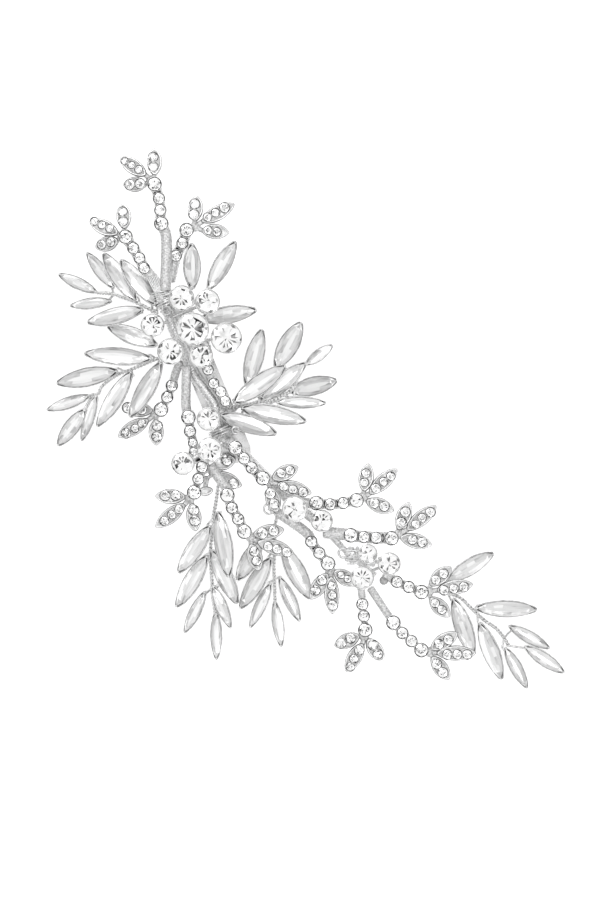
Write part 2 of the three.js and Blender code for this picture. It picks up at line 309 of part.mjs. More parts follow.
// Outline of a long pointed leaf lying along +x.
function leafShape(length, width, outline = OUTLINE) {
  const s = new THREE.Shape();
  const half = (q) => (width / 2) * Math.pow(Math.sin(Math.PI * q), 0.8);
  const pts = [];
  for (const q of outline) pts.push([q * length, -half(q)]);
  for (const q of [...outline].reverse()) pts.push([q * length, half(q)]);
  pts.forEach(([x, y], i) => (i ? s.lineTo(x, y) : s.moveTo(x, y)));
  s.closePath();
  return s;
}

// A navette: the outline in three layers, drawn in towards the table and back.
const LAYERS = [[-0.5, 0.86, 0.6], [0.05, 1, 1], [0.5, 0.82, 0.5]]; // z / t, x scale, y scale

function leaf({ base, tip, width, roll }) {
  const length = V(base).distanceTo(V(tip));
  const t = length > 14.2 ? LEAF_T : LEAF_T_SMALL;
  const g = new THREE.ExtrudeGeometry(leafShape(length, width), { depth: 2, steps: 2, bevelEnabled: false, curveSegments: 1 });
  const p = g.attributes.position;
  for (let i = 0; i < p.count; i++) {
    const [z, sx, sy] = LAYERS[Math.round(p.getZ(i))];
    p.setXYZ(i, length / 2 + (p.getX(i) - length / 2) * sx, p.getY(i) * sy, z * t);
  }
  g.applyMatrix4(frameFrom(base, tip, roll));
  return solid(g);
}

const toward = (a, b, d) => {
  const v = V(b).sub(V(a)).normalize().multiplyScalar(d).add(V(a));
  return [v.x, v.y, v.z];
};

// A low cut stone standing in its seat, facing up.
function stone(x, y, z, d, h, sides) {
  const g = new THREE.CylinderGeometry(d * 0.34, d / 2, h + 0.5, sides);
  g.rotateX(Math.PI / 2);
  g.translate(x, y, z + (h - 0.5) / 2);
  return solid(g);
}

const parts = [];
const add = (name, manifold, color, roughness, metalness) => parts.push({ name, manifold, color, roughness, metalness });
const SILVER = ['#d9dade', 0.25, 1.0];
const CRYSTAL = ['#f2f4f8', 0.05, 0.1];
const STEEL = ['#c9cbd0', 0.3, 1.0];

// ---------------------------------------------------------------- main stem
{
  const body = bar(MAIN_STEM, STEM_R, { sides: 8, steps: 14 });
  const seats = ROW.slice(1, 5).map(([x, y, z]) => stone(x, y, z + 1.75, 2.5, 0.9, 5));
  const row = bar(ROW.map(([x, y, z], i) => [x, y, z + (i < 5 ? 1.2 : 0.3)]), 1.3, { sides: 6, flat: 0.7, steps: 5 });
  // the wrapped knot between the tail twigs, with one small round stone on it
  const knot = bar(KNOT.bar, KNOT.r, { sides: 8, flat: 0.62, steps: 3 });
  const [kx, ky, kz] = KNOT.stone;
  const kr = KNOT.d / 2;
  const g = new THREE.LatheGeometry([
    [0, kz - kr * 1.15], [kr * 0.5, kz - kr * 1.15], [kr, kz - kr * 0.58],
    [kr, kz - kr * 0.3], [kr * 0.58, kz], [0, kz],
  ].map(([p, q]) => new THREE.Vector2(p, q)), 10);
  g.rotateX(Math.PI / 2);
  g.translate(kx, ky, 0);
  const post = bar([[kx, ky, kz - kr * 1.15 + 0.4], [kx - 0.4, ky - 0.6, 15.6]], 0.8, { sides: 6 });
  add('main_stem', join([body, row, ...seats, knot, solid(g), post]), ...SILVER);
}

// -------------------------------------------------------------------- twigs
for (const [name, t] of Object.entries(TWIGS)) {
  const half = t.width / 2;
  const first = t.path.slice(0, t.rod);
  const solids = [];
  solids.push(bar(t.path, half, { sides: 6, flat: ROD_FLAT, steps: 3 }));
  for (const [d, x, y, z] of t.stones) solids.push(stone(x, y, z + half * ROD_FLAT * 0.7, d, d > 3 ? 1.1 : 0.85, d > 3 ? 6 : 5));
  const [jx, jy, jz] = t.joint;
  solids.push(stone(jx, jy, jz + half * ROD_FLAT * 0.5, JOINT_D, 1.2, 6));
  const bases = t.leaves.map((l) => l.base);
  const hub = [0, 1, 2].map((i) => (bases.reduce((s, b) => s + b[i], 0) / bases.length) * 0.7 + t.joint[i] * 0.3);
  solids.push(bar([t.joint, hub], 0.7, { sides: 4 }));
  const disc = new THREE.CylinderGeometry(1.45, 1.25, 1.3, 6);
  disc.rotateX(Math.PI / 2);
  disc.translate(...hub);
  solids.push(solid(disc));
  for (const l of t.leaves) {
    solids.push(bar([hub, toward(l.base, l.tip, 1.0)], 0.48, { sides: 4 }));
    const length = V(l.base).distanceTo(V(l.tip));
    // the small stones of a leaf stand in one raised bed
    const g = new THREE.ExtrudeGeometry(leafShape(length, TREFOIL_W, PAVE_OUTLINE), { depth: 2, steps: 2, bevelEnabled: false, curveSegments: 1 });
    const p = g.attributes.position;
    for (let i = 0; i < p.count; i++) {
      const k = Math.round(p.getZ(i));
      const s = k === 2 ? 0.72 : 1;
      p.setXYZ(i, length / 2 + (p.getX(i) - length / 2) * (k === 2 ? 0.86 : 1), p.getY(i) * s, [-0.5 * TREFOIL_T, 0.5 * TREFOIL_T, 0.5 * TREFOIL_T + PAVE_H][k]);
    }
    g.applyMatrix4(frameFrom(l.base, l.tip, 0));
    solids.push(solid(g));
  }
  add(`twig_${name}`, join(solids), ...SILVER);
}

// --------------------------------------------------------- large round stones
for (const [name, b] of Object.entries(BRILLIANTS)) {
  const r = b.d / 2;
  const [x, y, top] = b.top;
  const crown = r * 0.3;
  const cup = r * 0.85;
  const g = new THREE.LatheGeometry([
    [0, top - crown - cup], [r * 0.42, top - crown - cup], [r, top - crown - r * 0.28],
    [r, top - crown], [r * 0.58, top], [0, top],
  ].map(([a, c]) => new THREE.Vector2(a, c)), 10);
  g.rotateX(Math.PI / 2);
  g.translate(x, y, 0);
  const low = [x, y, top - crown - cup + 0.4];
  const mid = [x + (b.foot[0] - x) * 0.25, y + (b.foot[1] - y) * 0.25, low[2] - (low[2] - b.foot[2]) * 0.55];
  const wire = bar([low, [x, y, low[2] - 0.7], mid, b.foot], STONE_WIRE_R, { sides: 5, steps: 4 });
  add(`brilliant_${name}`, join([solid(g), wire]), ...CRYSTAL);
}

// --------------------------------------------------------------- leaf sprays
for (const [name, s] of Object.entries(SPRAYS)) {
  const solids = [bar(s.stem, SPRAY_R, { sides: 6, steps: s.stem.length + 1 })];
  for (const e of s.ends) {
    solids.push(leaf(e));
    solids.push(bar([s.stem[s.stem.length - 1], toward(e.base, e.tip, 1.5)], PAIR_R, { sides: 4 }));
  }
  if (name === 'lower_inner') {
    const near = s.stem[3];
    solids.push(leaf(LONE_LEAF), bar([near, toward(LONE_LEAF.base, LONE_LEAF.tip, 1.8)], PAIR_R, { sides: 4 }));
  }
  add(`spray_${name}_stem`, join(solids), ...SILVER);
  s.pairs.forEach((p, i) => {
    // the wire leaves one navette, passes under the stem and ends in the other
    const route = [toward(p.a.base, p.a.tip, 1.6), ...p.wire, toward(p.b.base, p.b.tip, 1.6)];
    const wires = route.slice(1).map((q, k) => bar([toward(route[k], q, -0.12), toward(q, route[k], -0.12)], PAIR_R, { sides: 4 }));
    add(`spray_${name}_leaves_${i + 1}`, join([leaf(p.a), ...wires, leaf(p.b)]), ...CRYSTAL);
  });
}
{
  const hub = FAN_HUB;
  const solids = FAN.map((f) => leaf(f));
  const bead = new THREE.IcosahedronGeometry(0.75, 0);
  bead.translate(...hub);
  solids.push(solid(bead));
  FAN.forEach((f, i) => solids.push(bar([toward(hub, f.base, 0.13 + 0.05 * i), toward(f.base, f.tip, 1.8)], PAIR_R, { sides: 4 })));
  add('fan_leaves', join(solids), ...CRYSTAL);
}

// --------------------------------------------------------------------- clip
// Local frame of the clip: x from the hinge to the jaw tip, z up, origin at
// the hinge pin's centre.
const clip = new THREE.Matrix4().makeRotationZ(THREE.MathUtils.degToRad(CLIP_TURN));
clip.setPosition(V(CLIP_AT));
const place = (g) => solid(g.applyMatrix4(clip));

const box = (x0, x1, y0, y1, z0, z1) => {
  const g = new THREE.BoxGeometry(x1 - x0, y1 - y0, z1 - z0);
  g.translate((x0 + x1) / 2, (y0 + y1) / 2, (z0 + z1) / 2);
  return g;
};

// A strip seen from the side (x, z outline), width across y.
function strip(profile, width) {
  const s = new THREE.Shape();
  profile.forEach(([x, z], i) => (i ? s.lineTo(x, z) : s.moveTo(x, z)));
  s.closePath();
  const g = new THREE.ExtrudeGeometry(s, { depth: width, bevelEnabled: false });
  g.translate(0, 0, -width / 2);
  g.rotateX(Math.PI / 2);
  return g;
}

const yRod = (r, length, sides) => new THREE.CylinderGeometry(r, r, length, sides);

// Outline of a strip that follows centre points, thickness t.
function ribbon(points, t) {
  const up = [], down = [];
  points.forEach(([x, z], i) => {
    const a = points[Math.max(0, i - 1)], b = points[Math.min(points.length - 1, i + 1)];
    const n = Math.hypot(b[0] - a[0], b[1] - a[1]);
    const nx = -(b[1] - a[1]) / n, nz = (b[0] - a[0]) / n;
    up.push([x + nx * t / 2, z + nz * t / 2]);
    down.push([x - nx * t / 2, z - nz * t / 2]);
  });
  return [...up, ...down.reverse()];
}

// Plan outline that trims the ends of a strip round.
function planRound(x0, x1, w, rTip, rTail) {
  const s = new THREE.Shape();
  const pts = [];
  const arc = (cx, r, a0, a1, n) => { for (let i = 0; i <= n; i++) { const a = a0 + (a1 - a0) * i / n; pts.push([cx + r * Math.cos(a), (w / 2 - r) * Math.sign(Math.sin(a) || 1) + r * Math.sin(a)]); } };
  arc(x1 - rTip, rTip, -Math.PI / 2, -0.01, 2);
  arc(x1 - rTip, rTip, 0.01, Math.PI / 2, 2);
  arc(x0 + rTail, rTail, Math.PI / 2, Math.PI - 0.01, 2);
  arc(x0 + rTail, rTail, Math.PI + 0.01, 1.5 * Math.PI, 2);
  pts.forEach(([x, y], i) => (i ? s.lineTo(x, y) : s.moveTo(x, y)));
  s.closePath();
  const g = new THREE.ExtrudeGeometry(s, { depth: 40, bevelEnabled: false });
  g.translate(0, 0, -20);
  return g;
}

const PLATE_Z = 2.15;          // underside of the plate above the pin
{
  const z0 = PLATE_Z;
  let plate = place(strip([[-PLATE_TAIL, z0], [PLATE_L, z0], [PLATE_L, z0 + PLATE_T], [-PLATE_TAIL, z0 + PLATE_T]], CLIP_W));
  plate = plate.intersect(place(planRound(-PLATE_TAIL, PLATE_L, CLIP_W, 2.6, 2.2)));
  for (const side of [1, -1]) {
    const y0 = side * (CLIP_W / 2 - EAR_T), y1 = side * CLIP_W / 2;
    const ear = strip([[-3.2, z0 + 0.3], [-2.2, -1.2], [-1.1, -2.0], [1.1, -2.0], [2.2, -1.2], [3.4, z0 + 0.3]], EAR_T);
    ear.translate(0, (y0 + y1) / 2, 0);
    plate = plate.add(place(ear));
  }
  plate = plate.subtract(place(yRod(PIN_R + 0.35, CLIP_W + 2, 12)));
  add('clip_plate', plate, ...STEEL);
}
{
  // jaw: closed against the plate at its tip, bowed away from it in the
  // middle, then bent down behind the hinge as the finger lever
  const centre = [[-14.5, -4.95], [-9.5, -4.55], [-5.0, -3.6], [-1.8, -3.3], [3, -3.3], [17, -3.3], [21.3, -2.2], [25.6, -0.1], [28.3, 1.25], [30.2, 1.45]];
  let jaw = place(strip(ribbon(centre, JAW_T), JAW_W));
  jaw = jaw.intersect(place(planRound(-14.6, 30.3, JAW_W, 2.0, 2.2)));
  for (const side of [1, -1]) {
    const lug = strip([[-2.0, -3.3], [2.0, -3.3], [1.6, -0.2], [0.9, 1.15], [-0.9, 1.15], [-1.6, -0.2]], EAR_T);
    lug.translate(0, side * (JAW_W / 2 - EAR_T / 2), 0);
    jaw = jaw.add(place(lug));
  }
  // teeth along the mouth
  for (const x of [19.4]) {
    for (const side of [1, -1]) {
      const y = side * (JAW_W / 2 - 0.55);
      const tooth = new THREE.ConeGeometry(0.55, 1.9, 4);
      tooth.rotateX(Math.PI / 2);
      tooth.translate(x, y, -1.4);
      jaw = jaw.add(place(tooth));
    }
  }
  jaw = jaw.subtract(place(yRod(PIN_R + 0.35, CLIP_W + 2, 12)));
  add('clip_jaw', jaw, ...STEEL);
}
{
  const shank = place(yRod(PIN_R, CLIP_W + 0.4, 12));
  const heads = [1, -1].map((s) => { const h = yRod(1.35, 0.5, 12); h.translate(0, s * (CLIP_W / 2 + 0.45), 0); return place(h); });
  add('clip_pin', join([shank, ...heads]), ...STEEL);
}
{
  // torsion spring: coils round the pin, one leg under the plate, one on the lever
  const pts = [];
  const R = PIN_R + 0.25 + SPRING_WIRE_R;
  const turns = 2.55, n = 20;
  const a0 = Math.PI * 0.62;
  pts.push([-9.0, -1.55, 1.6], [-4.0, -1.5, 1.55]);
  for (let i = 0; i <= n; i++) {
    const a = a0 - (i / n) * turns * Math.PI * 2;
    pts.push([R * Math.cos(a), -1.5 + 3.0 * (i / n), R * Math.sin(a)]);
  }
  pts.push([-4.2, 1.5, -2.55], [-8.8, 1.55, -3.55]);
  const path = new THREE.CatmullRomCurve3(pts.map(V), false, 'centripetal');
  const g = new THREE.ExtrudeGeometry(ngon(SPRING_WIRE_R, 5), { steps: 40, extrudePath: path, bevelEnabled: false, curveSegments: 1 });
  add('clip_spring', place(g), ...STEEL);
}
{
  // wire ties that hold the stem down on the plate: closed loops across the clip
  TIES.forEach(({ x, loop }, i) => {
    const path = new THREE.CatmullRomCurve3(loop.map(([y, z]) => new THREE.Vector3(x, y, z)), true, 'centripetal');
    const g = new THREE.ExtrudeGeometry(ngon(BIND_R, 5), { steps: 22, extrudePath: path, bevelEnabled: false, curveSegments: 1 });
    add(`clip_tie_${i + 1}`, place(g), ...SILVER);
  });
}

// -------------------------------------------------------------------- scene
const group = new THREE.Group();
group.name = 'rhinestone_hair_clip';
for (const p of parts) {
  const mesh = new THREE.Mesh(geometryOf(p.manifold), new THREE.MeshStandardMaterial({ color: p.color, roughness: p.roughness, metalness: p.metalness }));
  mesh.name = p.name;
  group.add(mesh);
}

export default group;
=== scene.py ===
# Rhinestone hair clip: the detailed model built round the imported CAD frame.
# Layout tables are in millimetres in the CAD frame; MM turns them to metres.
import math
import random

import bmesh
import bpy
from mathutils import Matrix, Vector


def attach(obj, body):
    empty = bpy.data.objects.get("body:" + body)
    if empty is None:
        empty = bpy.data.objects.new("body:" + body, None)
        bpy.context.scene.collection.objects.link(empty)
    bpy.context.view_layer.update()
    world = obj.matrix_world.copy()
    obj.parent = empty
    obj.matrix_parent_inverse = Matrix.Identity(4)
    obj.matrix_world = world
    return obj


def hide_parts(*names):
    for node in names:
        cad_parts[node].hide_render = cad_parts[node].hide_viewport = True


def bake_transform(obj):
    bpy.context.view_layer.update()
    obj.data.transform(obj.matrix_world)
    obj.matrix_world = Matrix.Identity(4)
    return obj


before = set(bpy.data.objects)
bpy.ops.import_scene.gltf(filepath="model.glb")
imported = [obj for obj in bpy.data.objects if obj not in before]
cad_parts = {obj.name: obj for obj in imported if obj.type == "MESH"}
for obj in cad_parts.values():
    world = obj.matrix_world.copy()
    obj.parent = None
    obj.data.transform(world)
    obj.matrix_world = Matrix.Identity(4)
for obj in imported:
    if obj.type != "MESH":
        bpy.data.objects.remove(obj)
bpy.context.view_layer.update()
MM = 0.001

# ------------------------------------------------------------------ layout
MAIN_STEM = [(-35.11, 29.99, 16.3), (-33.26, 23.14, 16.5), (-29.75, 15.39, 16.7), (-28.25, 11.64, 16.7), (-25.25, 7.39, 16.7), (-22.86, 3.74, 16.7), (-21, -5.11, 16.7), (-17.75, -6.86, 16.6), (-11.01, -13.36, 16), (-4, -20.11, 15.6), (4.75, -27.11, 15.1), (9.99, -32.86, 14.6), (17.25, -38.86, 14)]
SPRAYS = {
    "upper_left": dict(
        stem=[(-37.01, 26.74, 16.6), (-38.55, 27.32, 16.06), (-42.38, 29.22, 13.78), (-46.38, 30.77, 10.87), (-48.3, 31.52, 9.32), (-52.51, 32.09, 5.9)],
        ends=[((-52.76, 32.14, 5.8), (-62.73, 37, 0.6), 3.38, 16, 1)],
        pairs=[
            (((-48.88, 29.8, 8.95), (-59.65, 28.9, 2.75), 3.38, 25, 1), ((-48.3, 33.07, 9.05), (-55.33, 42.24, 4.34), 3.5, 0, 1), [(-48.57, 31.56, 7.45)]),
            (((-42.76, 29.64, 15.41), (-50.92, 41.88, 8.7), 5, 25, 0), ((-40.66, 27.32, 17.02), (-54.95, 24.52, 8.7), 5, 25, 0), [(-42.26, 30.94, 12.84), (-41.54, 28.8, 12.63), (-40.98, 26.68, 14.45)]),
            (((-37.55, 28.55, 17.3), (-46.36, 40.07, 12.2), 5, 25, 0), ((-37.26, 18.52, 15.1), (-49.86, 23.59, 10.2), 5, 25, 0), [(-38.5, 27.3, 14.43)]),
        ]),
    "lower_left": dict(
        stem=[(-35.51, 15.64, 15.9), (-37.41, 15.07, 15.39), (-44.28, 12.39, 12.07), (-47.36, 11.24, 10.24), (-51.55, 8.19, 7.05), (-52.33, 6.64, 5.92), (-54.26, 6.27, 4.6)],
        ends=[((-54.46, 6.14, 4.5), (-65.69, 2.52, 0.6), 3.38, 16, 1)],
        pairs=[
            (((-55.78, 2.69, 4.9), (-62.93, -6.5, 0.6), 4.25, 0, 1), ((-52.73, 6.14, 7.41), (-56.74, -5.29, 2.46), 3.38, 25, 1), [(-53.53, 6.41, 3.45), (-52.5, 4.93, 4.99)]),
            (((-47.18, 12.24, 12.5), (-62.93, 9.25, 5.19), 5, 0, 0), ((-43.53, 12.02, 14.29), (-52.54, -1.66, 8.2), 5, 25, 0), [(-47.45, 12.97, 9.93), (-45.31, 12, 9.81), (-43.15, 11.06, 11.72)]),
            (((-38.55, 15.07, 16.88), (-55.43, 16.54, 14.2), 5, 21, 0), ((-36.05, 14.3, 17.64), (-44.01, 0.6, 14.3), 5, 18, 0), [(-39, 16.22, 14.31), (-37.4, 15.07, 13.74), (-35.9, 13.8, 15.07)]),
        ]),
    "right": dict(
        stem=[(-19.38, 2.89, 16.6), (-17.15, 3.35, 16.19), (-13.63, 3.97, 15.18), (-11.16, 4.59, 14.33), (-8.66, 4.39, 13.42), (-6.38, 5.84, 12.36), (-4.1, 7.07, 11.28), (-1.21, 12.05, 8.7)],
        ends=[((-0.16, 13.92, 8.6), (6.72, 18.94, 0.6), 3.38, 16, 1)],
        pairs=[
            (((-4.1, 7.07, 8.8), (7.86, 10.03, 0.6), 5, 0, 0), ((-7.43, 4.39, 14.83), (5.07, 4.17, 12.91), 3.38, 16, 1), [(-3.32, 5.62, 10.68), (-6.24, 5.92, 10.64), (-6.9, 3.55, 12.41)]),
            (((-7.63, 12.89, 10.5), (-1.19, 24.71, 3.2), 5.5, 0, 0), ((-11.55, 4.59, 12.3), (-0.06, 14.31, 11.5), 5, 25, 0), [(-11.24, 4.57, 12.71), (-11.93, 6.1, 13.86)]),
            (((-18, 4.17, 18.28), (-5.15, 13.44, 13.3), 5, 0, 0), ((-16.13, 2.94, 17.9), (0.09, -0.43, 13.7), 5, 18, 0), [(-18.14, 4.83, 15.71), (-14.51, 3.81, 13.78), (-15.94, 1.89, 15.33)]),
            (((-14.88, 8.32, 12.1), (-11.09, 22.86, 6.2), 5, 0, 0), ((-21.3, 1.27, 19.6), (-7.39, -3.56, 16.1), 5, 25, 0), [(-16.75, 3.42, 14.42), (-19.05, 1.27, 16)]),
        ]),
    "lower_middle": dict(
        stem=[(-20.5, -10.61, 14), (-21.38, -13.61, 13.31), (-22.03, -16.93, 12.44), (-22.65, -21.16, 11.29), (-23.25, -24.2, 10.42), (-23.25, -27.23, 9.55), (-24, -32.08, 8.11), (-23.71, -40.86, 5.45), (-23.4, -45.41, 4.04), (-22.8, -49.33, 2.8)],
        ends=[((-22.8, -48.43, 2.6), (-22.65, -60.8, 0.6), 3.38, 16, 1)],
        pairs=[
            (((-25.38, -43.28, 4.64), (-30.79, -53.95, 1.07), 3.38, 16, 1), ((-23.4, -41.76, 6.99), (-19.06, -52.74, 1.02), 3.38, 16, 1), [(-23.6, -42.47, 3.3), (-22, -41.66, 4.57)]),
            (((-24.75, -34.18, 9.45), (-32.76, -47.27, 3.7), 5, 25, 0), ((-23.71, -32.68, 9.9), (-17.4, -46.38, 4.7), 5, 25, 0), [(-25.58, -34.21, 6.88), (-23.96, -33.42, 6.05), (-22.33, -32.63, 7.33)]),
            (((-23.86, -26.61, 11.7), (-32.17, -38.48, 7.2), 5, 25, 0), ((-22.03, -22.98, 12.79), (-19.26, -39.43, 14.7), 5, 18, 0), [(-24.9, -26.61, 9.13), (-23.25, -24.7, 8.63), (-21.35, -23.11, 10.22)]),
        ]),
    "lower_inner": dict(
        stem=[(-9.38, -22.11, 14.6), (-7.38, -23.98, 13.81), (-7.75, -26.48, 12.86), (-7.88, -34.11, 9.51), (-8.03, -38.11, 7.57), (-7.88, -42.2, 5.47), (-7.75, -45.73, 3.6)],
        ends=[((-7.88, -45.73, 3.5), (-6.22, -57.5, 0.6), 3.38, 16, 1)],
        pairs=[
            (((-8.83, -41.13, 7.86), (-14.09, -52.46, 5.36), 3.38, 16, 1), ((-6.68, -39.51, 8.65), (-1.55, -50.83, 5.46), 3.5, 0, 1), [(-9.57, -41.16, 5.44), (-7.95, -40.33, 4.78), (-6.33, -39.5, 6.23)]),
            (((-8.71, -34.63, 11.21), (-16.56, -47.57, 4.9), 5, 25, 0), ((-6, -31.36, 12.9), (1.16, -45.15, 6.5), 5, 0, 0), [(-9.55, -34.6, 8.64), (-7.86, -32.99, 8.35)]),
        ]),
    "tail": dict(
        stem=[(22.5, -40.98, 11.3), (28.5, -42.61, 10.52), (33.74, -43.23, 9.56), (38.52, -44.55, 8.54), (41.4, -47.2, 7.65), (44.74, -50.3, 6.56), (48.09, -52.7, 5.51), (50.24, -55.33, 4.62), (51.2, -57.01, 4.1)],
        ends=[((55.27, -57.23, 4), (65.5, -64.07, 0.6), 3.75, 0, 1)],
        pairs=[
            (((51.2, -51.98, 5.04), (61.69, -57.83, 1.62), 3.5, 0, 1), ((50.24, -57.48, 5.94), (56.09, -67.97, 0.6), 3.5, 0, 1), [(50.19, -55.27, 2.99), (49.73, -57.77, 3.52)]),
            (((42.59, -47.2, 9.41), (58.49, -48.04, 1.79), 5, 25, 0), ((43.77, -51.03, 8.58), (49.61, -65.71, 0.63), 5, 25, 0), [(43.16, -46.58, 6.84), (43.31, -48.97, 5.38), (43.46, -51.36, 6.01)]),
            (((35.42, -40.26, 9.6), (47.46, -33.69, 3.2), 5, 25, 0), ((37.07, -44.8, 10.78), (42.3, -59.62, 2.7), 5, 18, 0), [(35.89, -43.82, 7.45), (36.8, -45.79, 8.21)]),
        ]),
}
LONE_LEAF = ((-11.01, -30.11, 12.3), (-17.39, -40.32, 6.2), 5, 25, 0)
FAN = [((-28.38, 32.47, 16.9), (-28.51, 43.97, 16.9), 5, 25, 0), ((-24.4, 32.47, 16.9), (-17.58, 44.46, 16.9), 5, 25, 0), ((-22.5, 25.64, 16.9), (-12.28, 27.39, 16.9), 5, 25, 0)]
FAN_HUB = (-30.63, 26.17, 17.3)
